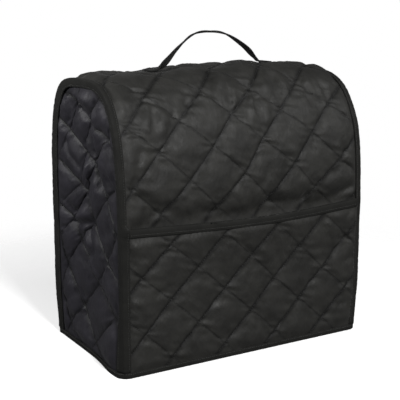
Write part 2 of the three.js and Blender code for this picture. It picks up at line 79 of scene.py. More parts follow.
def make_camera():
    data = bpy.data.cameras.new("camera")
    data.sensor_width = CAMERA_SENSOR
    data.lens = CAMERA_LENS
    data.clip_start, data.clip_end = CAMERA_RANGE
    camera = add_object("camera", data)
    camera.location = CAMERA_PLACE
    camera.rotation_euler = (math.pi / 2 - CAMERA_TILT, 0.0, -CAMERA_TURN)
    bpy.context.scene.camera = camera
    return camera


camera = make_camera()
print("camera at", [round(c, 3) for c in camera.location], "lens", camera.data.lens)

# %% [markdown]
# ## The arched outline
# Seen from the end, the cover is a tall arch: straight sides that round over into a broad, slightly
# flattened top. A superellipse gives that shape with a rise and a power, and a higher power at the back
# makes its shoulder fuller there. The function `on_outline` walks along the arch from the front floor to
# the back floor and also steps off it, so any cloth or tape can follow the arch at its own height above the
# seam line.

# %% The arched outline
SEAM_LOW, SEAM_HIGH = (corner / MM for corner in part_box("seam_binding_left"))
FRONT = (SEAM_HIGH.y - SEAM_LOW.y) / 2
MIDDLE_Y = (SEAM_HIGH.y + SEAM_LOW.y) / 2
HALF = 200.0
TOP = SEAM_HIGH.z
ARCH_RISE = 228.0
FRONT_POWER = 3.13
BACK_POWER = 3.9
ARCH_SAMPLES = 3000


def sample_outline():
    samples = [(0.0, -FRONT, 0.0, -1.0, 0.0)]
    points = []
    for i in range(ARCH_SAMPLES + 1):
        angle = math.pi * (1 - i / ARCH_SAMPLES)
        power = FRONT_POWER if math.cos(angle) < 0 else BACK_POWER
        wide = math.copysign(abs(math.cos(angle)) ** (2 / power), math.cos(angle))
        high = abs(math.sin(angle)) ** (2 / power)
        normal_y = math.copysign(abs(wide) ** (power - 1), wide) / FRONT
        normal_z = high ** (power - 1) / ARCH_RISE
        size = math.hypot(normal_y, normal_z)
        points.append((FRONT * wide, TOP - ARCH_RISE + ARCH_RISE * high, normal_y / size, normal_z / size))
    points.append((FRONT, 0.0, 1.0, 0.0))
    for y, z, normal_y, normal_z in points:
        s, last_y, last_z = samples[-1][:3]
        samples.append((s + math.hypot(y - last_y, z - last_z), y, z, normal_y, normal_z))
    return samples


OUTLINE = sample_outline()
OUTLINE_S = [sample[0] for sample in OUTLINE]
OUTLINE_LENGTH = OUTLINE_S[-1]
APEX = OUTLINE_LENGTH / 2


def on_outline(s, lift=0.0):
    """(y, z, normal y, normal z) at a distance s along the arch, stepped off it by lift."""
    k = min(max(bisect.bisect_right(OUTLINE_S, s), 1), len(OUTLINE) - 1)
    a, b = OUTLINE[k - 1], OUTLINE[k]
    t = (s - a[0]) / (b[0] - a[0]) if b[0] > a[0] else 0.0
    y, z, normal_y, normal_z = (a[n] + (b[n] - a[n]) * t for n in range(1, 5))
    size = math.hypot(normal_y, normal_z)
    normal_y, normal_z = normal_y / size, normal_z / size
    return y + normal_y * lift + MIDDLE_Y, z + normal_z * lift, normal_y, normal_z


print("length over the arch:", round(OUTLINE_LENGTH, 1), "mm")


# %% [markdown]
# ## Small helpers
# `smooth` is the usual soft step between two values. `finish_piece` turns a bmesh into an object at the
# origin, gives it its material, lets it ride on the cover's one body and hides the CAD node it stands for.

# %% Small helpers
def smooth(value, start, end):
    t = min(max((value - start) / (end - start), 0.0), 1.0)
    return t * t * (3 - 2 * t)


def mix(a, b, t):
    return a + (b - a) * t


def add_piece(name, mesh, material, thickness=0.0):
    """Puts a mesh into the scene as a piece of the cover's one body."""
    mesh.materials.append(material)
    mesh.shade_smooth()
    piece = add_object(name, mesh)
    if thickness:
        solidify = piece.modifiers.new("cloth thickness", "SOLIDIFY")
        solidify.thickness = thickness * MM
        solidify.offset = -1.0
    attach(piece, "root")
    return piece


def finish_piece(name, bm, material, node, thickness=0.0):
    """Turns a bmesh into the piece that stands for a CAD node."""
    mesh = bpy.data.meshes.new(name)
    bm.to_mesh(mesh)
    bm.free()
    piece = add_piece(name, mesh, material, thickness)
    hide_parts(node)
    print(name, "has", len(mesh.polygons), "faces")
    return piece


# %% [markdown]
# ## The swell along the top and the seams
# The photograph's skyline stands higher than the two seams: soft wadding bulges between them, most of all
# on the right of the handle. A short table gives how far, and the swell grows in over the shoulders. The
# right shoulder also sinks a little, seam and all. Neither seam is quite straight: the right one stands
# outwards in front and the left one at the back, and the cloths beside it are drawn out with it.

# %% The swell along the top
SEAM_EDGE = 190.2
RIDGE_STARTS, RIDGE_FULL = 360.0, 440.0
# across, rise
RIDGE = [
    (-177, 5), (-155, 6), (-123, 6), (-89, 7), (-61, 9), (-32, 12), (0, 12.5), (36, 13.5), (72, 15),
    (126, 12), (151, 10.5), (172, 9.5), (178, 8),
]
SHOULDER_STARTS, SHOULDER_ENDS, SHOULDER_WIDTH, SHOULDER_DEPTH = 372.0, 402.0, 36.0, -4.5
RIGHT_SEAM_OUT, LEFT_SEAM_OUT = 4.5, 3.0


def ridge_rise(x):
    for (x0, rise0), (x1, rise1) in zip(RIDGE, RIDGE[1:]):
        if x <= x1:
            break
    level = mix(rise0, rise1, min(max((x - x0) / (x1 - x0), 0.0), 1.0))
    return level * smooth(SEAM_EDGE - abs(x), 0, 13)


def from_floor(s):
    """The way along the arch to the nearer floor."""
    return min(s, OUTLINE_LENGTH - s)


def swell(x, s):
    """How far cloth and seams stand off the plain arch."""
    beside = 0 if x > SEAM_EDGE - 1 else HALF - x
    off = math.hypot(beside, s - min(max(s, SHOULDER_STARTS), SHOULDER_ENDS))
    sunk = SHOULDER_DEPTH * math.exp(-((off / SHOULDER_WIDTH) ** 2))
    return ridge_rise(x) * smooth(from_floor(s), RIDGE_STARTS, RIDGE_FULL) + sunk


def seam_shift(side, s):
    """How far a whole seam stands outwards: the right one in front and, less, the left one at the back."""
    behind = smooth(s, APEX - 60, APEX + 80)
    share = smooth(from_floor(s), 5, 80)
    return share * (RIGHT_SEAM_OUT * (1 - behind) if side > 0 else LEFT_SEAM_OUT * behind)


def shifted(x, s):
    """A place across the cloth, drawn out towards a seam that stands outwards."""
    side = math.copysign(1, x)
    return x + side * seam_shift(side, s) * smooth(abs(x), 120, SEAM_EDGE)


print("the top swells by", [round(ridge_rise(x), 1) for x in (-150, 0, 72, 150)], "mm")


# %% [markdown]
# ## Quilting
# The cloth is two fabrics with wadding between them, sewn together along straight lines that cross as
# diamonds. Each line pulls the cloth flat and the wadding swells between the lines. A plain square grid
# would cut across those lines and blur them, so the grid here is made in the diamonds' own two directions.
# Its vertices crowd towards the stitch lines, where the cloth turns sharply, and thin out over the puffs.
# Crossings that the photograph shows were measured on the cloth, and the rest carry on at the same spacing.

# %% Quilting
GRID_STEPS = 20
CROWDING = 0.6
CLOTH = 2.2
DEEP_LINE = 0.72
FINE_LINE = 0.4
NEAR = 0.15


class Quilt:
    """Stitch lines that cross as diamonds, in millimetres on the flat cloth. A line has a whole number."""

    def __init__(self, across, up, right, left, crossings=None, wander=0.0, seed=0.0, sunk=None):
        self.start = Vector((across, up, 0.0))
        self.right = Vector((*right, 0.0))
        self.left = Vector((*left, 0.0))
        self.crossings = crossings or {}
        self.wander = wander
        self.seed = seed
        self.sunk = sunk

    def crossing(self, i, j):
        """Where two lines cross: across, up and, where it was measured, its rise."""
        if (i, j) in self.crossings:
            return Vector((*self.crossings[i, j], 0.0)[:3])
        stray = noise.noise_vector(Vector((i * 7.31, j * 5.17, self.seed))) * self.wander
        place = self.start + self.right * i + self.left * j + stray
        place.z = -self.sunk(place.x, place.y) if self.sunk else 0.0
        return place

    def lines_at(self, across, up):
        """The line numbers of a place on an evenly quilted cloth."""
        x, y = across - self.start.x, up - self.start.y
        area = self.right.x * self.left.y - self.right.y * self.left.x
        return (x * self.left.y - y * self.left.x) / area, (self.right.x * y - self.right.y * x) / area

    def span(self, low, high):
        """The first and last line, in each direction, that a rectangle needs."""
        corners = [self.lines_at(x, y) for x in (low[0], high[0]) for y in (low[1], high[1])]
        return [(math.floor(min(numbers)) - 1, math.ceil(max(numbers)) + 1) for numbers in zip(*corners)]

    def spread(self, a, b):
        """The place of line numbers a, b on the flat cloth, with its measured lift as z."""
        i, j = math.floor(a), math.floor(b)
        t, u = a - i, b - j
        near = self.crossing(i, j).lerp(self.crossing(i + 1, j), t)
        far = self.crossing(i, j + 1).lerp(self.crossing(i + 1, j + 1), t)
        return near.lerp(far, u)


def puff(a, b, deep=DEEP_LINE, fine=FINE_LINE, kept=0.35):
    """0 on a deep stitch line and 1 in the middle of a diamond. A line of b keeps a share of the height."""
    return abs(math.sin(math.pi * a)) ** deep * mix(kept, 1.0, abs(math.sin(math.pi * b)) ** fine)


def crowd(value):
    """Moves grid steps towards the stitch lines."""
    cell = math.floor(value)
    t = value - cell
    return cell + t - CROWDING * math.sin(2 * math.pi * t) / (2 * math.pi)


def quilted_grid(quilt, low, high):
    """A flat grid along the stitch lines that covers a rectangle. Its vertices keep their line numbers."""
    (a0, a1), (b0, b1) = quilt.span(low, high)
    bm = bmesh.new()
    bmesh.ops.create_grid(bm, x_segments=(a1 - a0) * GRID_STEPS, y_segments=(b1 - b0) * GRID_STEPS, size=1.0)
    line_a = bm.verts.layers.float.new("line_a")
    line_b = bm.verts.layers.float.new("line_b")
    for vert in bm.verts:
        vert[line_a] = crowd(mix(a0, a1, (vert.co.x + 1) / 2))
        vert[line_b] = crowd(mix(b0, b1, (vert.co.y + 1) / 2))
        vert.co = quilt.spread(vert[line_a], vert[line_b])
    return bm


def cut(bm, point, outward):
    """Cuts away what lies outward of a line through point."""
    everything = bm.verts[:] + bm.edges[:] + bm.faces[:]
    bmesh.ops.bisect_plane(bm, geom=everything, dist=1e-4, plane_co=point, plane_no=outward, clear_outer=True)


def hang(bm, place):
    """Moves a flat grid to where place puts it, faces it outwards, and keeps the flat cloth as its UV map."""
    line_a = bm.verts.layers.float["line_a"]
    line_b = bm.verts.layers.float["line_b"]
    cloth = bm.loops.layers.uv.new("cloth")
    lines = bm.loops.layers.uv.new("lines")
    for face in bm.faces:
        for loop in face.loops:
            loop[cloth].uv = (loop.vert.co.x * MM, loop.vert.co.y * MM)
            loop[lines].uv = (loop.vert[line_a], loop.vert[line_b])
    outward = {}
    for vert in bm.verts:
        point, outward[vert] = place(*vert.co, vert[line_a], vert[line_b])
        vert.co = point * MM
    bm.normal_update()
    if sum(vert.normal.dot(out) for vert, out in outward.items()) < 0:
        bmesh.ops.reverse_faces(bm, faces=bm.faces)


def make_cloth(name, node, material, quilt, low, high, place, trim=None):
    """A quilted cloth. place(across, up, rise, a, b) gives a point and the outward direction there."""
    bm = quilted_grid(quilt, low, high)
    cut(bm, (low[0], 0, 0), (-1, 0, 0))
    cut(bm, (high[0], 0, 0), (1, 0, 0))
    cut(bm, (0, low[1], 0), (0, -1, 0))
    cut(bm, (0, high[1], 0), (0, 1, 0))
    bmesh.ops.remove_doubles(bm, verts=bm.verts, dist=NEAR)
    if trim:
        trim(bm)
        bmesh.ops.remove_doubles(bm, verts=bm.verts, dist=NEAR)
    hang(bm, place)
    return finish_piece(name, bm, material, node, CLOTH)


# %% [markdown]
# ## Folds
# A sewn cover is never smooth: it sags over the pocket, dips by the handle and crumples at its ends. Each
# main fold was placed as a line on the flat cloth with a width and a height, a trough below zero
# and a ridge above. The cloth falls off softly on both sides and towards the fold's two ends.

# %% Folds
class Folds:
    """Troughs and ridges on a flat cloth, each row a width, a rise and the points that it runs through."""

    def __init__(self, rows):
        self.rows = []
        for width, rise, *points in rows:
            across, up = zip(*points)
            reach = 2.6 * width
            box = (min(across) - reach, max(across) + reach, min(up) - reach, max(up) + reach)
            self.rows.append((box, width, rise, list(zip(points, points[1:]))))

    def height(self, across, up):
        total = 0.0
        for (left, right, low, high), width, rise, pieces in self.rows:
            if not (left < across < right and low < up < high):
                continue
            nearest = min(self.distance(across, up, start, end) for start, end in pieces)
            total += rise * math.exp(-((nearest / width) ** 2))
        return total

    @staticmethod
    def distance(across, up, start, end):
        dx, dy = end[0] - start[0], end[1] - start[1]
        along = ((across - start[0]) * dx + (up - start[1]) * dy) / (dx * dx + dy * dy)
        near = min(max(along, 0.0), 1.0)
        return math.hypot(across - start[0] - dx * near, up - start[1] - dy * near)


def puckers(a, b, seed, step=58.0, pitch=6.0, reach=9.0):
    """Small gathers across the stitch lines, deepest a little way off them, in parts of their height."""
    total = 0.0
    for across_line, along_line, shift, share in ((a, b, 0.0, 1.0), (b, a, 31.0, 0.3)):
        off = (across_line - round(across_line)) * step
        grip = abs(off) / reach * math.exp(1 - abs(off) / reach)
        slant = along_line * step + 0.45 * off
        where = Vector((slant / pitch, round(across_line) * 3.7 + shift, seed))
        where.y += math.copysign(abs(off) / 30.0 + 0.5, off)
        total += share * grip * noise.noise(where)
    return total


def edge_gathers(inside, along, seed, pitch=6.5, reach=7.0):
    """Small gathers square to a sewn edge, in parts of their height."""
    grip = max(inside, 0.0) / reach * math.exp(1 - inside / reach)
    return grip * noise.noise(Vector((along / pitch, inside / 50.0, seed)))


def crumple(across, up, seed):
    """The faint unevenness of soft wadding."""
    broad = noise.noise(Vector((across / 15.0, up / 15.0, seed)))
    return broad + 0.6 * noise.noise(Vector((across / 6, up / 6, seed)))


def fullness(a, b, seed):
    """How full a diamond is: no two hold the same wadding."""
    return 1 + 0.3 * noise.noise(Vector((math.floor(a) * 3.3, math.floor(b) * 2.9, seed)))


# %% [markdown]
# ## Materials
# Black cloth is hard to light, because almost all that shows of it is its gloss. The quilted polyester is a
# tightly woven satin with a soft, wide highlight, the tape and webbing are matt and ribbed. One node group
# makes the weave for all of them from a flat UV map, so that the threads follow each cloth over its folds.
# A second one finds the stitch lines and darkens their colour as painted shade, because less light gets into
# them. `add_node` makes a node and feeds its sockets.

# %% The weave and the painted shade of the stitch lines
def feed(tree, value, socket):
    """Gives a socket a constant, or a link where value is another node's output."""
    if isinstance(value, bpy.types.NodeSocket):
        tree.links.new(value, socket)
    else:
        socket.default_value = value


def add_node(tree, kind, sockets=(), **settings):
    """Adds a shader node and gives back its outputs."""
    node = tree.nodes.new("ShaderNode" + kind)
    for name, value in settings.items():
        setattr(node, name, value)
    for name, value in dict(sockets).items():
        feed(tree, value, node.inputs[name])
    return node.outputs


def math_node(tree, operation, *values):
    return add_node(tree, "Math", enumerate(values), operation=operation)[0]


def map_range(tree, value, low, high, start, end, interpolation="LINEAR"):
    sockets = {"Value": value, "From Min": low, "From Max": high, "To Min": start, "To Max": end}
    return add_node(tree, "MapRange", sockets, interpolation_type=interpolation)["Result"]


def new_group(name, place, values, result):
    """A node group that works out one result from a place and some values, and what its nodes link to."""
    group = bpy.data.node_groups.new(name, "ShaderNodeTree")
    sockets = group.interface
    sockets.new_socket(place, in_out="INPUT", socket_type="NodeSocketVector")
    for value_name, value in values:
        sockets.new_socket(value_name, in_out="INPUT", socket_type="NodeSocketFloat").default_value = value
    sockets.new_socket(result, in_out="OUTPUT", socket_type="NodeSocketFloat")
    given = group.nodes.new("NodeGroupInput").outputs
    axes = add_node(group, "SeparateXYZ", {0: given[place]})
    return group, given, axes, group.nodes.new("NodeGroupOutput").inputs[result]


def make_weave_group():
    pitches = (("Warp pitch", 0.0005), ("Weft pitch", 0.0005))
    group, given, axes, result = new_group("woven threads", "Place", pitches, "Height")
    waves = []
    for axis, (pitch, _) in zip("XY", pitches):
        turns = math_node(group, "DIVIDE", axes[axis], given[pitch])
        waves.append(math_node(group, "SINE", math_node(group, "MULTIPLY", turns, math.pi)))
    height = math_node(group, "MULTIPLY", *waves)
    feed(group, math_node(group, "MULTIPLY_ADD", height, 0.5), result)
    return group


def make_line_group():
    """How much painted shade a stitch line gets: 1 on it and 0 a few millimetres off. Lines of the first kind
    are wider.
    """
    widths = (("Wide", 0.105), ("Fine", 0.05))
    values = (*widths, ("Fine share", 0.5))
    group, given, axes, result = new_group("stitch lines", "Line numbers", values, "Groove")
    grooves = []
    for axis, (width, _) in zip("XY", widths):
        off = math_node(group, "PINGPONG", axes[axis], 0.5)
        grooves.append(map_range(group, off, 0.0, given[width], 1.0, 0.0, "SMOOTHSTEP"))
    fine = math_node(group, "MULTIPLY", grooves[1], given["Fine share"])
    feed(group, math_node(group, "MAXIMUM", grooves[0], fine), result)
    return group


WEAVE = make_weave_group()
LINE_SHADE = make_line_group()
print("node groups:", WEAVE.name, "and", LINE_SHADE.name)


# %% The cloth and tape materials
def new_material(name, constants):
    material = bpy.data.materials.new(name)
    material.use_nodes = True
    shader = material.node_tree.nodes["Principled BSDF"].inputs
    for socket, value in constants.items():
        shader[socket].default_value = value
    return material, material.node_tree, shader


def colour_ramp(tree, factor, stops):
    ramp = tree.nodes.new("ShaderNodeValToRGB")
    feed(tree, factor, ramp.inputs["Fac"])
    for element, (place, colour) in zip(ramp.color_ramp.elements, stops):
        element.position = place
        element.color = (*colour, 1.0)
    return ramp.outputs["Color"]


def noise_texture(tree, vector, scale, detail):
    return add_node(tree, "TexNoise", {"Vector": vector, "Scale": scale, "Detail": detail})["Fac"]


def flat_map(tree, name):
    return add_node(tree, "UVMap", uv_map=name)["UV"]


def paint_line_shade(tree, colour, share):
    """Paints shade into the stitch lines, where less light gets in: their colour becomes a share of the
    colour beside them.
    """
    lines = add_node(tree, "Group", {"Line numbers": flat_map(tree, "lines")}, node_tree=LINE_SHADE)
    sockets = {0: lines["Groove"], 6: colour, 7: (share, share, share, 1.0)}
    return add_node(tree, "Mix", sockets, data_type="RGBA", blend_type="MULTIPLY")[2]


def woven_material(name, dark, light, rough, sheen, specular, pitches, weave_depth, wrinkle_depth=0.0,
                   line_shade_share=1.0):
    """A woven cloth: its colour and roughness wander, its stitch lines may get painted shade, and its threads
    and finest wrinkles are bumps.
    """
    constants = {"Sheen Weight": sheen, "Sheen Roughness": 0.4, "Specular IOR Level": specular}
    material, tree, shader = new_material(name, constants)
    flat = flat_map(tree, "cloth")
    colour = colour_ramp(tree, noise_texture(tree, flat, 28.0, 4.0), ((0.35, dark), (0.7, light)))
    # painted shade: the colour is darkened in the stitch lines
    if line_shade_share < 1.0:
        colour = paint_line_shade(tree, colour, line_shade_share)
    feed(tree, colour, shader["Base Color"])
    feed(tree, map_range(tree, noise_texture(tree, flat, 70.0, 3.0), 0.3, 0.7, *rough), shader["Roughness"])
    sockets = {"Place": flat, "Warp pitch": pitches[0], "Weft pitch": pitches[1]}
    weave = add_node(tree, "Group", sockets, node_tree=WEAVE)
    threads = {"Distance": weave_depth * MM, "Height": weave["Height"]}
    if wrinkle_depth:
        drawn_out = add_node(tree, "VectorMath", {0: flat, 1: (1.0, 0.5, 1.0)}, operation="MULTIPLY")[0]
        wrinkles = {"Distance": wrinkle_depth * MM, "Height": noise_texture(tree, drawn_out, 150.0, 2.0)}
        threads["Normal"] = add_node(tree, "Bump", wrinkles)["Normal"]
    feed(tree, add_node(tree, "Bump", threads)["Normal"], shader["Normal"])
    return material


def thread_material(name, grey, rough):
    return new_material(name, {"Base Color": (*grey, 1.0), "Roughness": rough})[0]


# the last value of both satins is the share of colour left in the stitch lines, as painted shade
SATIN = woven_material("quilted satin", (0.0162, 0.016, 0.0147), (0.0264, 0.026, 0.0236), (0.5, 0.7),
                       0.04, 0.3, (0.00045, 0.00045), 0.04, 1.0, 0.25)
# the ends are the same satin tinted cooler and purpler: the tint is painted cool reflection
END_SATIN_PAINTED_COOL = woven_material("end panel satin, painted cool reflection", (0.0155, 0.0145, 0.0195), (0.025, 0.0232, 0.031), (0.5, 0.62),
                           0.04, 0.36, (0.00045, 0.00045), 0.04, 1.0, 0.25)
TAPE_CLOTH = woven_material("binding tape", (0.0095, 0.0095, 0.0085), (0.0145, 0.0145, 0.013), (0.72, 0.84),
                            0.03, 0.2, (0.0008, 0.0016), 0.12)
WEBBING = woven_material("handle webbing", (0.0095, 0.0095, 0.009), (0.015, 0.015, 0.014), (0.72, 0.84),
                         0.03, 0.22, (0.0012, 0.0022), 0.25)
THREAD = thread_material("quilting thread", (0.014, 0.014, 0.0135), 0.5)
TAPE_THREAD = thread_material("seam thread", (0.04, 0.04, 0.038), 0.45)
print("materials:", [m.name for m in (SATIN, END_SATIN_PAINTED_COOL, TAPE_CLOTH, WEBBING, THREAD, TAPE_THREAD)])

# %% [markdown]
# ## Stitches
# Every seam and every quilting line is a row of short threads that dive into the cloth. Each stitch is a
# small stretched icosphere of twenty faces. One is made with the operator, and arrays copy it to thousands
# of places, which is far quicker than calling the operator thousands of times and gives one mesh for each
# cloth.

# %% Stitches
STITCH_PITCH = 3.4
STITCH_HALF = Vector((1.4, 0.42, 0.36))
THREAD_PROUD = 0.15
LINE_STEPS = 48
SHORTEST_RUN = 4


def one_stitch():
    bm = bmesh.new()
    bmesh.ops.create_icosphere(bm, subdivisions=1, radius=1.0)
    bmesh.ops.scale(bm, verts=bm.verts, vec=STITCH_HALF)
    bm.verts.index_update()
    corners = numpy.array([vert.co[:] for vert in bm.verts])
    faces = numpy.array([[vert.index for vert in face.verts] for face in bm.faces])
    bm.free()
    return corners, faces


def sewn_places(run):
    """Where stitches lie on a run, which is a list of (point, outward direction) in millimetres."""
    places = []
    travelled = STITCH_PITCH / 2
    for (here, out), (there, _) in zip(run, run[1:]):
        step = (there - here).length
        travelled += step
        if travelled >= STITCH_PITCH and step > 0:
            travelled -= STITCH_PITCH
            places.append(((here + there) / 2, (there - here) / step, out))
    return places


def sew(name, runs, slot):
    """Joins the stitches of many runs in one mesh. Seams are sewn with a greyer thread than quilting."""
    corners, faces = one_stitch()
    turned, joined = [], []
    for point, along, out in (place for run in runs for place in sewn_places(run)):
        aside = out.cross(along).normalized()
        axes = numpy.array([along[:], aside[:], along.cross(aside)[:]])
        joined.append(faces + len(turned) * len(corners))
        turned.append(corners @ axes + numpy.array(point[:]))
    mesh = bpy.data.meshes.new(name)
    mesh.from_pydata((numpy.concatenate(turned) * MM).tolist(), [], numpy.concatenate(joined).tolist())
    add_piece(name, mesh, TAPE_THREAD if slot == "binding_tape" else THREAD)
    print(name, "has", len(turned), "stitches")


def sew_quilting(name, slot, quilt, low, high, place, allowed=lambda across, up: True):
    """Sews every stitch line of a quilt between two corners of its flat cloth, where allowed says so."""
    span = quilt.span(low, high)
    runs = []
    for fixed in (0, 1):
        (first, last), (start, end) = span[fixed], span[1 - fixed]
        for line in range(first, last + 1):
            runs.append([])
            for step in range(start * LINE_STEPS, end * LINE_STEPS):
                a, b = (step / LINE_STEPS, line) if fixed else (line, step / LINE_STEPS)
                spot = quilt.spread(a, b)
                if low[0] < spot.x < high[0] and low[1] < spot.y < high[1] and allowed(spot.x, spot.y):
                    runs[-1].append(place(*spot, a, b, THREAD_PROUD))
                elif runs[-1]:
                    runs.append([])
    sew(name, [run for run in runs if len(run) >= SHORTEST_RUN], slot)


# %% [markdown]
# ## The main panel
# One quilted cloth, 39 cm wide and 92 cm long, goes up the front, over the top and down the back. It is
# modelled flat with its diamonds, cut to its rectangle with `bisect_plane`, and hung on the arch. Its edges
# stay flat where the seam tapes hold them, and its lower front is plain behind the pocket and sinks a
# little behind the pocket's mouth.

# %% The main panel
CLOTH_INSET = 2.8
PUFF = 4.0
MAIN_EDGE = 194.0
CLOTH_FOOT = 2.1
POCKET_TOP = 207.5
HEM_HEIGHT = 8.0
HANDLE_Y = 8.0
HANDLE_FEET = (-86.0, 103.0)

# line numbers: across, up
MAIN_CROSSINGS = {
    (1, 1): (-143, 385), (1, 2): (-179.9, 339.2), (2, 0): (-57, 386), (2, 1): (-99.6, 344.7),
    (2, 2): (-136.4, 304.7), (2, 3): (-179.6, 256.1), (3, -1): (25.6, 385),
    (3, 0): (-15.6, 348.9), (3, 1): (-52, 306), (3, 2): (-92.2, 261.9), (3, 3): (-136.3, 218.7),
    (4, -2): (106, 390.5), (4, -1): (68.2, 350.6), (4, 0): (29.1, 309.5), (4, 1): (-2.4, 264.4),
    (4, 2): (-48.7, 221.4), (5, -2): (152.5, 354.3), (5, -1): (117.7, 313),
    (5, 0): (82.5, 270.2), (5, 1): (37.8, 224), (6, -1): (163.8, 269.7), (6, 0): (118.1, 231.7),
}
MAIN_QUILT = Quilt(-148.4, 461.7, (45.3, -38.6), (-39.6, -41.9), MAIN_CROSSINGS, wander=3.0, seed=1.0)

# width, rise, then the fold's points as (across, up)
MAIN_FOLDS = Folds([
    (5, 2.5, (-145, 366), (-152, 335)), (4.5, -3, (-137, 360), (-142, 333)),
    (5, 2.4, (-122, 357), (-127, 333)), (5, -3, (-80, 388), (-84, 368)), (7, -3.6, (-28, 411), (-42, 384)),
    (6, 3, (-12, 416), (-24, 391)), (6, 2.7, (40, 440), (26, 394)), (4, 2.4, (22.6, 372), (16.5, 340)),
    (4.5, -3, (30, 370), (27, 348)), (5, 2.4, (44, 360), (41, 335)), (5, 2.4, (50, 394), (53, 375)),
    (5, -3, (74, 402), (62, 376)), (5, 2.7, (86, 396), (88, 369)), (4, 2.4, (112, 368), (120, 345)),
    (4, -2.7, (120, 364), (121, 351)), (4, 2.1, (125, 351), (128, 342)), (5, 2.5, (163, 395), (158, 362)),
    (4, 2.4, (140, 392), (148, 352)), (4, -2.2, (150, 388), (156, 358)), (4, 2.2, (128, 398), (133, 374)),
    (3.5, -2.2, (121, 394), (126, 374)), (4, 2.4, (-4, 384), (-8, 362)), (3.5, -2, (-10, 382), (-14, 364)),
    (4, 2.2, (62, 386), (58, 362)), (4, -2.2, (-104, 372), (-108, 352)), (6, 2, (165, 324), (174, 287)),
    (5, -3, (168, 289), (171, 279)), (5, -2.6, (171, 263), (187, 250), (196, 249)),
    (5, -2, (158, 254), (140, 244)), (5, -2.8, (-164, 307), (-170, 290), (-172, 277), (-179, 259)),
    (8, -5, (-171, 248), (-160, 243), (-145, 226)), (4.5, -3.2, (-163, 228), (-160, 208)),
    (4, -2.5, (-152, 220), (-149, 206)), (5, -2.4, (35, 269), (27, 250), (16, 243)),
    (8, -6, (142, 205), (150, 208), (169, 218), (187, 226)),
    (4, 4, (160, 204), (170, 212), (184, 218), (193, 213)), (4, -3.5, (106, 223), (98, 211)),
    (6, 3, (111, 212), (118, 226)), (9, -4, (-127, 226), (-104, 207)), (10, -5, (-88, 216), (-58, 208)),
    (3.5, 3, (-94, 232), (-90, 208)), (6, -3.5, (2, 208), (22, 209)), (10, -5, (42, 216), (90, 210)),
    (4, -2.5, (10, 222), (6, 206)), (20, -3, (-6, 452), (18, 486)), (12, -2.5, (152, 428), (128, 500)),
    (26, -4, (-60, 620), (70, 590)), (6, -2.2, (-96, 700), (-60, 664)), (6, 2, (-20, 690), (8, 640)),
    (7, -2.4, (112, 716), (92, 664)), (6, -2.4, (140, 560), (158, 596)), (9, -3, (-150, 822), (-118, 800)),
    (8, -2.6, (44, 846), (70, 812)), (7, 2.2, (-172, 560), (-160, 520)),
])


def under_handle(x, s):
    """1 where a handle foot is sewn flat to the top, 0 away from it."""
    across = 1 - smooth(abs(s - APEX - HANDLE_Y), 20, 34)
    away = min(abs(x - foot) for foot in HANDLE_FEET)
    return across * (1 - smooth(away, 22, 36))


def pocket_hollow(x, s):
    """The cloth sinks behind the pocket's mouth, most of all towards the right."""
    depth = mix(6.0, 9.0, smooth(x, -120, 160)) * smooth(SEAM_EDGE - abs(x), 0, 30)
    return -depth * smooth(s, 165, POCKET_TOP) * (1 - smooth(s, POCKET_TOP - 2, POCKET_TOP + 36))


def main_lift(x, s, a, b):
    """How far the main panel's outer face stands off the seam line's arch."""
    inside = SEAM_EDGE - abs(x)
    held = smooth(inside, 0, 8) * smooth(s, POCKET_TOP, POCKET_TOP + 12) * smooth(OUTLINE_LENGTH - s, 7, 16)
    up = from_floor(s)
    gathered = 2.5 * (1 + 0.3 * smooth(up, 320, 380) - 0.7 * smooth(up, 400, 440))
    relief = PUFF * fullness(a, b, 5.0) * puff(a, b) + gathered * puckers(a, b, 2.0)
    relief += 1.1 * crumple(x, s, 3.0) + 1.6 * edge_gathers(inside, s, 4.0)
    relief = relief * (1 - under_handle(x, s)) + MAIN_FOLDS.height(x, s)
    return swell(x, s) - CLOTH_INSET + held * relief + pocket_hollow(x, s)


def on_main(x, s, _, a, b, proud=0.0):
    y, z, normal_y, normal_z = on_outline(s, main_lift(x, s, a, b) + proud)
    return Vector((shifted(x, s), y, z)), Vector((0, normal_y, normal_z))


main_cloth = make_cloth("main_cloth", "main_panel", SATIN, MAIN_QUILT,
                        (-MAIN_EDGE, CLOTH_FOOT), (MAIN_EDGE, OUTLINE_LENGTH - CLOTH_FOOT), on_main)
sew_quilting("main_stitching", "quilted_cloth", MAIN_QUILT, (1 - SEAM_EDGE, POCKET_TOP + 2),
             (SEAM_EDGE - 1, OUTLINE_LENGTH - HEM_HEIGHT - 1), on_main, lambda x, s: under_handle(x, s) < 0.5)

# %% [markdown]
# ## The end panels
# Each end is an arched cloth that hollows inwards and crumples, because nothing stands behind it. It is
# quilted flat, trimmed to the arch by cutting along many of its tangents, which works because the arch
# bulges outwards all round, and then pushed in and out.

# %% The end panels
END_OUTER = 197.2
END_HOLLOW = 7.0
END_PUFF = 7.5
END_FLARE = 6.5
FLARE_PLACE, FLARE_WIDTH, FLARE_TOP = -84, 42, 110
SEAM_END_LEG = 13.0
BACK_SEAM_ROLL = 6


def leg_reach(y):
    """How far the seam tape reaches in over an end. The back seam has rolled towards the end."""
    return SEAM_END_LEG + BACK_SEAM_ROLL * smooth(y, 40, 100)


def end_hollow(y, z):
    """How far an end sinks inwards where nothing else is measured."""
    wide = max(0.0, 1 - (y / (FRONT - 8)) ** 2) ** 1.5
    return END_HOLLOW * wide * smooth(z, 0, 90) * (1 - smooth(z, 300, 372))


def end_flare(y, z):
    """How far the lower front corner of an end stands outwards."""
    flare = END_FLARE * math.exp(-(((y - FLARE_PLACE) / FLARE_WIDTH) ** 2)) * smooth(FRONT - abs(y), 2, 13)
    return flare * (1 - smooth(z, 0, FLARE_TOP))


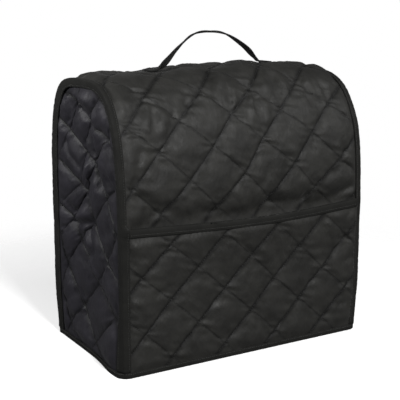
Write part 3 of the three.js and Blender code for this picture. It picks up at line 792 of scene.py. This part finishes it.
# line numbers: across, up, rise
LEFT_CROSSINGS = {
    (0, 0): (23, 364, -4), (0, 1): (-5, 338, -8), (0, 2): (-69, 321, -5), (1, 0): (58, 320, -5),
    (1, 1): (19, 292, -12), (1, 2): (-9, 280, -12), (1, 3): (-50, 237, -9), (2, 0): (93, 274, -2),
    (2, 1): (36, 244, -10), (2, 2): (16, 237, -11), (2, 3): (-1, 194, -12), (2, 4): (-51, 147, -8),
    (3, 1): (91, 205, -2), (3, 2): (58, 190, -8), (3, 3): (42, 161, -11), (3, 4): (-17, 109, -11),
    (3, 5): (-87, 80, -2), (4, 3): (80, 117, -6), (4, 4): (32, 64, -9), (4, 5): (-14, 20, -4),
    (5, 4): (74, 25, -4), (-1, 0): (-2, 410), (-1, 1): (-45, 372, -2), (-1, 2): (-92, 362),
    (0, 3): (-112, 276), (1, 4): (-92, 196, -2), (0, -1): (62, 372), (1, -1): (96, 342),
}
LEFT_QUILT = Quilt(4.5, 407.0, (42.0, -41.0), (-42.0, -41.0), LEFT_CROSSINGS, 3.0, 7.0, end_hollow)
RIGHT_QUILT = Quilt(8.5, 395.0, (42.0, -41.0), (-42.0, -41.0), None, 6.0, 11.0, end_hollow)

# width, rise, then the fold's points as (across, up)
LEFT_FOLDS = Folds([
    (5, -4, (66, 301), (62, 289), (52, 281), (38, 269)), (4, -3, (17, 352), (5, 344)),
    (4, -3.5, (-33, 364), (-16, 344)), (4, 3.5, (-2, 312), (-4, 297), (-18, 284)),
    (5, -4, (-16, 312), (-17, 296)), (4, 4.5, (7, 275), (7, 256)),
    (5, 3.5, (-16, 271), (-18, 256), (-21, 243)), (5, -3, (-22, 275), (-26, 262), (-33, 250)),
    (9, -7, (-62, 264), (-70, 254)), (6, -5, (-84, 272), (-86, 252)), (5, -4, (68, 210), (54, 202)),
    (6, 4, (41, 193), (20, 202)), (5, -4, (60, 182), (30, 187), (4, 192)), (6, 4, (22, 178), (8, 162)),
    (5, -3.5, (12, 179), (-8, 160)), (5, -4, (-8, 152), (2, 148), (24, 129)),
    (6, 4, (4, 138), (-7, 124), (-22, 116)), (4, 2.5, (43, 98), (38, 70), (34, 57)),
    (6, 3, (54, 50), (56, 20)), (5, -3, (52, 79), (104, 45)), (5, -3, (-92, 98), (-93, 78)),
    (11, -6, (-42, 187), (-64, 195)), (4, 3, (-86, 208), (-86, 196)), (4, 3.5, (-90, 168), (-66, 153)),
    (5, -3.5, (-70, 172), (-52, 154)), (6, 3.5, (-52, 142), (-46, 128)), (9, 4, (26, 368), (-10, 367)),
    (9, 5, (-29, 356), (-34, 325)), (7, -4, (44, 357), (55, 336)), (6, 3, (89, 332), (80, 320)),
    (8, 4, (-56, 312), (-44, 284)),
])
RIGHT_FOLDS = Folds([
    (9, -5, (-70, 342), (-20, 316), (30, 300)), (9, -5, (20, 256), (4, 214), (-12, 180)),
    (10, -5, (-64, 138), (52, 108)), (6, 3.5, (-40, 290), (-22, 262)), (6, -4, (58, 230), (74, 196)),
    (7, 3.5, (36, 70), (16, 44)), (6, -3.5, (-72, 226), (-58, 196)),
])
TANGENTS = 72
TRIMMED = (0.16, 0.84)
ARCH_STRIDE = 60


def inside_arch(y, z):
    """How far a place on an end panel lies inside the seam line."""
    return min((py - y) * out_y + (pz - z) * out_z for _, py, pz, out_y, out_z in OUTLINE[::ARCH_STRIDE])


def end_shift(side, y, z):
    """How far an end's edge follows its seam outwards."""
    s = z if y < 0 else OUTLINE_LENGTH - z
    return seam_shift(side, s) * smooth(abs(y), 30, 100)


def end_lift(y, z, rise, a, b, folds):
    """How far an end stands off its flat place."""
    inside = inside_arch(y, z) + SEAM_END_LEG - leg_reach(y)
    above_hem = smooth(z, 8, 20)
    relief = END_PUFF * puff(a, b, 0.62, 0.5, 0.0) + 2.2 * puckers(a, b, 9.0) + 0.6 * crumple(y, z, 8.0)
    relief += 2.0 * edge_gathers(inside - 8, math.atan2(z - 200, y) * 150, 6.0) + rise + folds.height(y, z)
    low = (1 - above_hem) * smooth(inside, 9, 24) * end_hollow(y, z)
    return smooth(inside, 12, 26) * above_hem * relief - low + end_flare(y, z)


def on_end(side, folds):
    def place(y, z, rise, a, b, proud=0.0):
        out = END_OUTER + end_shift(side, y, z) + end_lift(y, z, rise, a, b, folds) + proud
        return Vector((side * out, y + MIDDLE_Y, z)), Vector((side, 0, 0))

    return place


def trim_to_arch(bm, side):
    for k in range(TANGENTS + 1):
        s = mix(*TRIMMED, k / TANGENTS) * OUTLINE_LENGTH
        y, z, normal_y, normal_z = on_outline(s, swell(side * HALF, s) - CLOTH_INSET)
        cut(bm, (y - MIDDLE_Y, z, 0), (normal_y, normal_z, 0))


# %% Both ends
BOTH_ENDS = ((-1, "left", LEFT_QUILT, LEFT_FOLDS), (1, "right", RIGHT_QUILT, RIGHT_FOLDS))
for side, hand, quilt, folds in BOTH_ENDS:
    place = on_end(side, folds)
    end_cloth = make_cloth("end_cloth_" + hand, "end_panel_" + hand, END_SATIN_PAINTED_COOL, quilt,
                           (-FRONT, CLOTH_FOOT), (FRONT, TOP), place, lambda bm: trim_to_arch(bm, side))
    sew_quilting("end_stitching_" + hand, "end_cloth", quilt, (-FRONT, HEM_HEIGHT + 1), (FRONT, TOP - 10),
                 place, lambda y, z: inside_arch(y, z) > leg_reach(y) + 1)

# %% [markdown]
# ## The pocket
# The pocket is a second quilted cloth over the lower front, with diamonds of its own that don't line up
# with those above. Its mouth stands a little open, because the tape round its edge is longer than the cloth
# behind it is wide.

# %% The pocket
TAPE = 2.5
POCKET_SAG = 5.5
POCKET_GAPE = 10.0
MOUTH_STANDOFF = 2.0
POCKET_TAPE = 1.4
GAP = 0.3
POCKET_QUILT = Quilt(-41.8, 184.0, (43.8, -38.8), (-41.6, -42.3), wander=3.0, seed=3.0)

# width, rise, then the fold's points as (across, up)
POCKET_FOLDS = Folds([
    (3.5, -2.7, (-190, 169), (-165, 166)), (3.5, -2.7, (-190, 160), (-180, 159)),
    (4, 2.7, (-190, 105), (-172, 102)), (3.5, -2.7, (-190, 98), (-176, 96)),
    (5, -2.2, (-56, 108), (-56, 84)), (5, -2.2, (107, 125), (108, 90)), (4, -1.8, (159, 149), (182, 152)),
    (4, -3, (166, 113), (186, 117)), (4, -2.7, (166, 78), (187, 78)), (4, -2.7, (167, 46), (188, 46)),
    (4, -2.4, (160, 16), (186, 15)), (5.5, -1.4, (166, 157), (179, 140), (184, 119)),
    (3.5, 1.2, (172, 160), (184, 146)), (4, -3, (171, 181), (179, 193)), (4, -2.7, (159, 144), (152, 125)),
    (4, 2.4, (139, 180), (146, 157)), (5, -2.2, (40, 165), (46, 140)), (4, -1.9, (63, 162), (62, 138)),
    (5, -2.4, (107, 141), (150, 139)), (5, -2.4, (-15, 168), (1, 152)), (4, 2.2, (-96, 60), (-90, 30)),
    (5, -2, (20, 44), (34, 20)), (5, -2.2, (-150, 110), (-132, 118)),
])


def pocket_lean(x, z):
    """How far the pocket stands off the main panel."""
    rise = smooth(z, 110, POCKET_TOP)
    share = min(max((x / SEAM_EDGE + 1) / 2, 0.0), 1.0)
    wide = math.sin(math.pi * share**1.35) ** 1.3 if 0 < share < 1 else 0.0
    return MOUTH_STANDOFF * smooth(z, 130, POCKET_TOP - 12) + (POCKET_GAPE - MOUTH_STANDOFF) * rise * wide


def pocket_top(x):
    return POCKET_TOP - POCKET_SAG * math.cos(math.pi * x / (2 * SEAM_EDGE))
def off_pocket(x, z, out):
    """A place in front of the pocket's inner face."""
    return Vector((shifted(x, z), MIDDLE_Y - (FRONT - TAPE + pocket_lean(x, z) + out), z))


def on_pocket(x, z, _, a, b, proud=0.0):
    inside = SEAM_EDGE - abs(x)
    free = smooth(inside, 0, 8) * smooth(z, 8, 17) * (1 - smooth(z, POCKET_TOP - 21, POCKET_TOP - 15))
    relief = PUFF * fullness(a, b, 15.0) * puff(a, b) + 2.6 * puckers(a, b, 4.0) + 0.9 * crumple(x, z, 13.0)
    relief += 1.8 * edge_gathers(inside, z, 14.0) + POCKET_FOLDS.height(x, z)
    return off_pocket(x, z, CLOTH + free * relief + proud), Vector((0, -1, 0))


def trim_to_mouth(bm):
    for vert in bm.verts:
        vert.co.y = min(vert.co.y, pocket_top(vert.co.x) - POCKET_TAPE - GAP)


pocket_cloth = make_cloth("pocket_cloth", "pocket_panel", SATIN, POCKET_QUILT,
                          (-SEAM_EDGE, CLOTH_FOOT), (SEAM_EDGE, POCKET_TOP - POCKET_TAPE - GAP), on_pocket,
                          trim_to_mouth)
sew_quilting("pocket_stitching", "quilted_cloth", POCKET_QUILT, (1 - SEAM_EDGE, HEM_HEIGHT + 1),
             (SEAM_EDGE - 1, POCKET_TOP - 18), on_pocket)


# %% [markdown]
# ## Tape and webbing
# Every raw edge is wrapped in a folded tape, and the handle is a flat strap. Each is one cross-section
# carried along a path, so one helper makes them all: a grid whose one direction runs along the path and
# whose other goes round the section. The grid's long edges are merged into a tube and its ends are filled.

# %% Tape and webbing
def sweep(section, distances, place, is_ring=False):
    """A tube along a path: place(k, out, up) puts a point of its section at step k, distances[k] along it."""
    along, around = len(distances) - (0 if is_ring else 1), len(section)
    crosswise = [0.0]
    for (a, b), (c, d) in zip(section, section[1:]):
        crosswise.append(crosswise[-1] + math.hypot(c - a, d - b))
    bm = bmesh.new()
    bmesh.ops.create_grid(bm, x_segments=along, y_segments=around, size=1.0)
    cloth = bm.loops.layers.uv.new("cloth")
    spots = {}
    for vert in bm.verts:
        k, n = round((vert.co.x + 1) / 2 * along), round((vert.co.y + 1) / 2 * around)
        spots[vert] = k % len(distances), n % around
    for face in bm.faces:
        for loop in face.loops:
            k, n = spots[loop.vert]
            loop[cloth].uv = (crosswise[n] * MM, distances[k] * MM)
    for vert, (k, n) in spots.items():
        vert.co = Vector(place(k, *section[n])) * MM
    bmesh.ops.remove_doubles(bm, verts=bm.verts, dist=1e-6)
    if not is_ring:
        bmesh.ops.holes_fill(bm, edges=[edge for edge in bm.edges if edge.is_boundary])
    bmesh.ops.recalc_face_normals(bm, faces=bm.faces)
    return bm


# out from the end's face, up from the main panel's face
SEAM_SECTION = [
    (-9.5, -2.4), (-9.5, -1.6), (-9, -0.9), (-7.8, -0.7), (-7, -1.3), (-6.2, -0.7), (-4.4, -0.35),
    (-2.6, -0.35), (-1.3, -0.6), (-0.6, -1.2), (-0.4, -2.6), (-0.4, -5), (-0.5, -8.4), (-0.6, -9.6),
    (-1.3, -10.4), (-0.6, -11.2), (-0.9, -12.5), (-1.5, -13), (-2.4, -13), (-2.5, -2.5),
]
SEAM_STEPS = 300
SEAM_STITCH_STEPS = 790
SEAM_STITCH = 7.0
SEAM_END_STITCH = 10.4
SEAM_INNER = -2.6


def ripple(along, seed):
    """Tape is drawn in a little by its stitches, so it is never quite even."""
    slow = noise.noise(Vector((along / 37.0, seed, 0.0)))
    return min(0.5 * slow + 0.4 * noise.noise(Vector((along / 5.5, seed, 4.0))), 0.35)


def over_pocket(s, out):
    """How far the tape is lifted by the pocket's edge under it, and how much wider it is there."""
    here = 1 - smooth(s, POCKET_TOP - 1, POCKET_TOP + 5)
    edge = pocket_lean(SEAM_EDGE, s) + 1.2 + POCKET_TAPE * smooth(s, POCKET_TOP - 15, POCKET_TOP - 11)
    share = smooth(-out, 1.5, 9)
    return here * edge * share, 2.5 * here * share


def on_seam(side, s, out, lift):
    wave = ripple(s, 3.0 + side)
    out += seam_shift(side, s)
    if lift < SEAM_INNER:
        reach = (leg_reach(on_outline(s)[0] - MIDDLE_Y) + SEAM_INNER) / (SEAM_END_LEG + SEAM_INNER)
        lift = SEAM_INNER + (lift - SEAM_INNER) * reach
    raised, wider = over_pocket(s, out) if s < APEX else (0.0, 0.0)
    y, z, normal_y, normal_z = on_outline(s, swell(side * HALF, s) + lift + wave + raised)
    flare = end_flare(y - MIDDLE_Y, z)
    return Vector((side * (HALF + out + wave + flare - wider), y, z)), Vector((0, normal_y, normal_z))


def make_seam_tape(side, hand):
    start, end = HEM_HEIGHT + GAP, OUTLINE_LENGTH - HEM_HEIGHT - GAP
    distances = [mix(start, end, k / SEAM_STEPS) for k in range(SEAM_STEPS + 1)]
    bm = sweep(SEAM_SECTION, distances, lambda k, out, lift: on_seam(side, distances[k], out, lift)[0])
    finish_piece("seam_tape_" + hand, bm, TAPE_CLOTH, "seam_binding_" + hand)


def sew_seam(side, hand):
    runs = [[], []]
    for k in range(1, SEAM_STITCH_STEPS):
        s = mix(HEM_HEIGHT + 3, OUTLINE_LENGTH - HEM_HEIGHT - 3, k / SEAM_STITCH_STEPS)
        runs[0].append(on_seam(side, s, -SEAM_STITCH, -1.1))
        runs[1].append((on_seam(side, s, -1.1, -SEAM_END_STITCH)[0], Vector((side, 0, 0))))
    sew("seam_stitching_" + hand, runs, "binding_tape")


for side, hand in ((-1, "left"), (1, "right")):
    make_seam_tape(side, hand)
    sew_seam(side, hand)

# %% The pocket's tape
POCKET_TAPE_HEIGHT = 12.0
POCKET_STEPS = 160
POCKET_STITCH_STEPS = 380
POCKET_STITCH = 0.68


def make_pocket_tape():
    leg = GAP + POCKET_TAPE
    front, foot = CLOTH + leg, -POCKET_TAPE_HEIGHT
    section = [
        (front - 0.3, foot), (front, foot + 1.0), (front, foot / 2), (front, -2.6), (front - 0.6, -1.0),
        (front - 1.8, 0), (-leg + 1.2, 0), (-leg + 0.5, -0.3), (-leg, -1.0), (-leg, foot + 1.0),
        (-leg + 0.3, foot), (-GAP, foot), (-GAP, -POCKET_TAPE), (CLOTH + GAP, -POCKET_TAPE),
        (CLOTH + GAP, foot),
    ]
    across = [mix(-SEAM_EDGE, SEAM_EDGE, k / POCKET_STEPS) for k in range(POCKET_STEPS + 1)]
    bm = sweep(section, across, lambda k, out, up: off_pocket(across[k], pocket_top(across[k]) + up, out))
    finish_piece("pocket_tape", bm, TAPE_CLOTH, "pocket_binding")


def sew_pocket_tape():
    run = []
    for k in range(1, POCKET_STITCH_STEPS):
        x = mix(-SEAM_EDGE + 1, SEAM_EDGE - 1, k / POCKET_STITCH_STEPS)
        z = pocket_top(x) - POCKET_STITCH * POCKET_TAPE_HEIGHT
        run.append((off_pocket(x, z, CLOTH + GAP + POCKET_TAPE + 0.1), Vector((0, -1, 0))))
    sew("pocket_tape_stitching", [run], "binding_tape")


make_pocket_tape()
sew_pocket_tape()

# %% The hem tape
HEM_CORNER = 8.0
HEM_FLOOR = 1.8
HEM_OUTER_LEG = 1.6
HEM_INNER_LEG = 1.4
HEM_STITCH = 1.6


def hem_path():
    """Stations (x, y, normal x, normal y, wall) round the lower edge, where wall is the room cloth takes."""
    x0, y0 = END_OUTER, FRONT - CLOTH_INSET
    rx, ry = x0 - HEM_CORNER, y0 - HEM_CORNER
    pocket_wall = CLOTH + 2 * GAP
    front = [pocket_wall] * 5 + [2.3, 1.9, 1.3, 0.8]
    back = [0.8, 1.3, 1.9, 2.4, pocket_wall, 2.4, 1.9, 1.3, 0.8]
    stations = []

    def straight(start, end, normal, wall, steps):
        for k in range(1, steps):
            t = k / steps
            stations.append((mix(start[0], end[0], t), mix(start[1], end[1], t), *normal, wall))

    def corner(sx, sy, turn, walls):
        for k, wall in enumerate(walls):
            angle = turn + math.pi / 2 * k / (len(walls) - 1)
            c, s = math.cos(angle), math.sin(angle)
            stations.append((sx * rx + HEM_CORNER * c, sy * ry + HEM_CORNER * s, c, s, wall))

    corner(1, -1, -math.pi / 2, front)
    straight((x0, -ry), (x0, ry), (1, 0), GAP, 60)
    corner(1, 1, 0, back)
    straight((rx, y0), (-rx, y0), (0, 1), GAP, 100)
    corner(-1, 1, math.pi / 2, back)
    straight((-x0, ry), (-x0, -ry), (-1, 0), GAP, 60)
    corner(-1, -1, math.pi, front[::-1])
    straight((-rx, -y0), (rx, -y0), (0, -1), pocket_wall, 100)
    return stations


def hem_bow(x, y):
    """How far the hem follows the ends' hollow and flare."""
    share = smooth(abs(x), SEAM_EDGE, END_OUTER)
    return math.copysign(share, x) * (end_flare(y, 0) - end_hollow(y, 0) * smooth(FRONT - abs(y), 9, 24))


def on_hem(station, out, z):
    """A place on the hem tape. Its outer leg is moved out by the room that the cloth takes."""
    x, y, nx, ny, wall = station
    out += wall if out >= 0 else 0.0
    return Vector((x + nx * out + hem_bow(x, y), y + ny * out + MIDDLE_Y, z))


def make_hem_tape(stations):
    out, back = HEM_OUTER_LEG, -CLOTH - GAP
    section = [
        (out - 0.9, 0), (out - 0.3, 0.3), (out, 1.0), (out, HEM_HEIGHT / 2), (out, HEM_HEIGHT - 0.6),
        (out - 0.3, HEM_HEIGHT), (0, HEM_HEIGHT), (0, HEM_FLOOR), (back, HEM_FLOOR), (back, HEM_HEIGHT),
        (back - HEM_INNER_LEG, HEM_HEIGHT), (back - HEM_INNER_LEG, 0),
    ]
    distances = [0.0]
    for here, there in zip(stations, stations[1:]):
        distances.append(distances[-1] + math.hypot(there[0] - here[0], there[1] - here[1]))
    bm = sweep(section, distances, lambda k, out, z: on_hem(stations[k], out, z), is_ring=True)
    finish_piece("hem_tape", bm, TAPE_CLOTH, "hem_binding")


def sew_hem(stations):
    run = []
    for here, there in zip(stations, stations[1:] + stations[:1]):
        for t in (0, 0.25, 0.5, 0.75):
            station = [mix(p, q, t) for p, q in zip(here, there)]
            spot = on_hem(station, HEM_OUTER_LEG + 0.1, HEM_HEIGHT - HEM_STITCH)
            run.append((spot, Vector((station[2], station[3], 0))))
    sew("hem_stitching", [run], "binding_tape")


make_hem_tape(hem_path())
sew_hem(hem_path())

# %% [markdown]
# ## The handle
# A webbing strap, 25 mm wide, stands over the top as a low arch. It is stiff enough to hold its curve, and
# it turns a little about its own length on the way over, which the photograph shows as a strap that is wide
# on one side and thin on the other. Its two feet lie flat on the cloth.


# %% The handle
WEBBING_WIDTH = 25.0
WEBBING_THICK = 2.5
# across, height or 0 for flat on the cloth, turn in degrees
HANDLE_STATIONS = [
    (-94, 0, 0), (-84, 0, -6), (-73, 408.5, -30), (-62, 415.5, -37), (-45.2, 432, -28), (-18.7, 451.6, -14),
    (10.5, 454.5, -1), (38.9, 450.1, 10), (69.9, 431.9, 7), (85, 417.3, 13), (93.5, 410.5, 15), (99, 0, 4),
    (104, 0, 0), (111, 0, 0),
]
HANDLE_STEPS = 150
HANDLE_LOOK = 1e-3


def catmull(points, t):
    """A point on the smooth curve through points, with t from 0 to 1."""
    spans = len(points) - 1
    k = min(int(t * spans), spans - 1)
    u = t * spans - k
    p1, p2 = points[k], points[k + 1]
    p0 = points[k - 1] if k > 0 else p1 * 2 - p2
    p3 = points[k + 2] if k + 2 <= spans else p2 * 2 - p1
    bend = 2 * p0 - 5 * p1 + 4 * p2 - p3
    return 0.5 * (2 * p1 + (p2 - p0) * u + bend * u * u + (3 * p1 - p0 - 3 * p2 + p3) * u**3)


def on_top(x):
    """The height of the strap's middle where it lies on the cloth."""
    s = APEX + HANDLE_Y
    return on_outline(s, swell(x, s) - CLOTH_INSET)[1] + WEBBING_THICK / 2 + 0.9


def handle_frames():
    """The strap's middle, its directions across and through, and its length so far, at every step."""
    points = [Vector((x, turn, z or on_top(x))) for x, z, turn in HANDLE_STATIONS]
    frames = []
    travelled = 0.0
    for k in range(HANDLE_STEPS + 1):
        t = k / HANDLE_STEPS
        here = catmull(points, t)
        ahead = catmull(points, min(t + HANDLE_LOOK, 1.0)) - catmull(points, max(t - HANDLE_LOOK, 0.0))
        along = Vector((ahead.x, 0, ahead.z)).normalized()
        turn = math.radians(here.y)
        side = Vector((0, 1, 0))
        wide = side * math.cos(turn) + along.cross(side) * math.sin(turn)
        centre = Vector((here.x, HANDLE_Y + MIDDLE_Y, max(here.z, on_top(here.x))))
        if frames:
            travelled += (centre - frames[-1][0]).length
        frames.append((centre, wide, along.cross(wide), travelled))
    return frames


def make_handle():
    w, t = WEBBING_WIDTH / 2, WEBBING_THICK / 2
    edge = [(-w, 0.8), (-w + 0.4, 1.0), (-w + 3, 0.9), (0, 0.95), (w - 3, 0.9), (w - 0.4, 1.0), (w, 0.8)]
    section = [(a, -t * share) for a, share in edge] + [(a, t * share) for a, share in reversed(edge)]
    frames = handle_frames()

    def place(k, a, b):
        centre, wide, thick, _ = frames[k]
        return centre + wide * a + thick * b

    distances = [frame[3] for frame in frames]
    strap = finish_piece("handle_strap", sweep(section, distances, place), WEBBING, "handle")
    return strap, distances[-1]


handle_strap, strap_length = make_handle()
print("the strap is", round(strap_length), "mm long")

# %% [markdown]
# ## Studio
# A plain pale floor that fades into a white room, so that no horizon shows, and wide, soft lights. The room
# is white for the camera and dim for the lighting, because black cloth shows its folds only where bright
# and dark places around it are mirrored in its sheen. The key light stands in front and a little above, a
# small near light skims the left end from above its middle, and two weak ones fill in the right and the
# back.

# %% Studio
FLOOR_RADIUS = 1.9
FLOOR_DEPTH = 0.0003
WHITE = (1.0, 1.0, 1.0, 1.0)


def area_light(name, place, target, size, power):
    data = bpy.data.lights.new(name, "AREA")
    data.shape = "RECTANGLE"
    data.size, data.size_y = size
    data.energy = power
    light = add_object(name, data)
    light.location = place
    light.visible_camera = False
    light.rotation_euler = (Vector(target) - Vector(place)).to_track_quat("-Z", "Y").to_euler()


def make_world(strength):
    """A room that is white to look at and lights the cover dimly."""
    world = bpy.data.worlds.new("studio")
    bpy.context.scene.world = world
    world.use_nodes = True
    tree = world.node_tree
    lit = tree.nodes["Background"]
    lit.inputs["Color"].default_value = WHITE
    lit.inputs["Strength"].default_value = strength
    seen = add_node(tree, "Background", {"Color": WHITE, "Strength": 1.0})[0]
    camera_ray = add_node(tree, "LightPath")["Is Camera Ray"]
    both = add_node(tree, "MixShader", {0: camera_ray, 1: lit.outputs[0], 2: seen})[0]
    feed(tree, both, tree.nodes["World Output"].inputs["Surface"])


def floor_material():
    """White paint that shows the white room through it further out, and is dimmer in what it sends back."""
    constants = {"Roughness": 0.9, "Specular IOR Level": 0.0, "Emission Color": WHITE}
    material, tree, shader = new_material("pale floor", constants)
    camera_ray = add_node(tree, "LightPath")["Is Camera Ray"]
    paint = {0: camera_ray, 6: (0.16, 0.16, 0.16, 1), 7: (0.96, 0.96, 0.96, 1)}
    feed(tree, add_node(tree, "Mix", paint, data_type="RGBA")[2], shader["Base Color"])
    feed(tree, math_node(tree, "MULTIPLY", camera_ray, 0.45), shader["Emission Strength"])
    place = add_node(tree, "TexCoord")["Object"]
    away = add_node(tree, "VectorMath", {0: place}, operation="LENGTH")["Value"]
    fade = map_range(tree, away, 0.25, 0.9, 0.0, 1.0, "SMOOTHSTEP")
    painted = tree.nodes["Principled BSDF"].outputs[0]
    both = add_node(tree, "MixShader", {0: fade, 1: painted, 2: add_node(tree, "BsdfTransparent")[0]})[0]
    feed(tree, both, tree.nodes["Material Output"].inputs["Surface"])
    return material


def make_floor():
    bm = bmesh.new()
    bmesh.ops.create_circle(bm, cap_ends=True, segments=64, radius=FLOOR_RADIUS)
    bmesh.ops.translate(bm, verts=bm.verts, vec=(0, 0, -FLOOR_DEPTH))
    mesh = bpy.data.meshes.new("floor")
    bm.to_mesh(mesh)
    bm.free()
    mesh.materials.append(floor_material())
    floor = add_object("floor", mesh)


make_floor()
make_world(0.08)
area_light("key", (-0.3, -2.15, 1.62), (0, 0, 0.25), (0.45, 0.45), 55)
area_light("end", (-0.78, 0.15, 0.65), (-0.2, 0, 0.3), (0.25, 0.25), 3.7)
area_light("right", (1.5, -1.3, 1.3), (0, 0, 0.25), (0.7, 0.7), 10)
area_light("back", (1.0, 2.3, 0.35), (0, 0, 0.2), (1.2, 0.6), 7)
bpy.context.scene.view_settings.view_transform = "Standard"
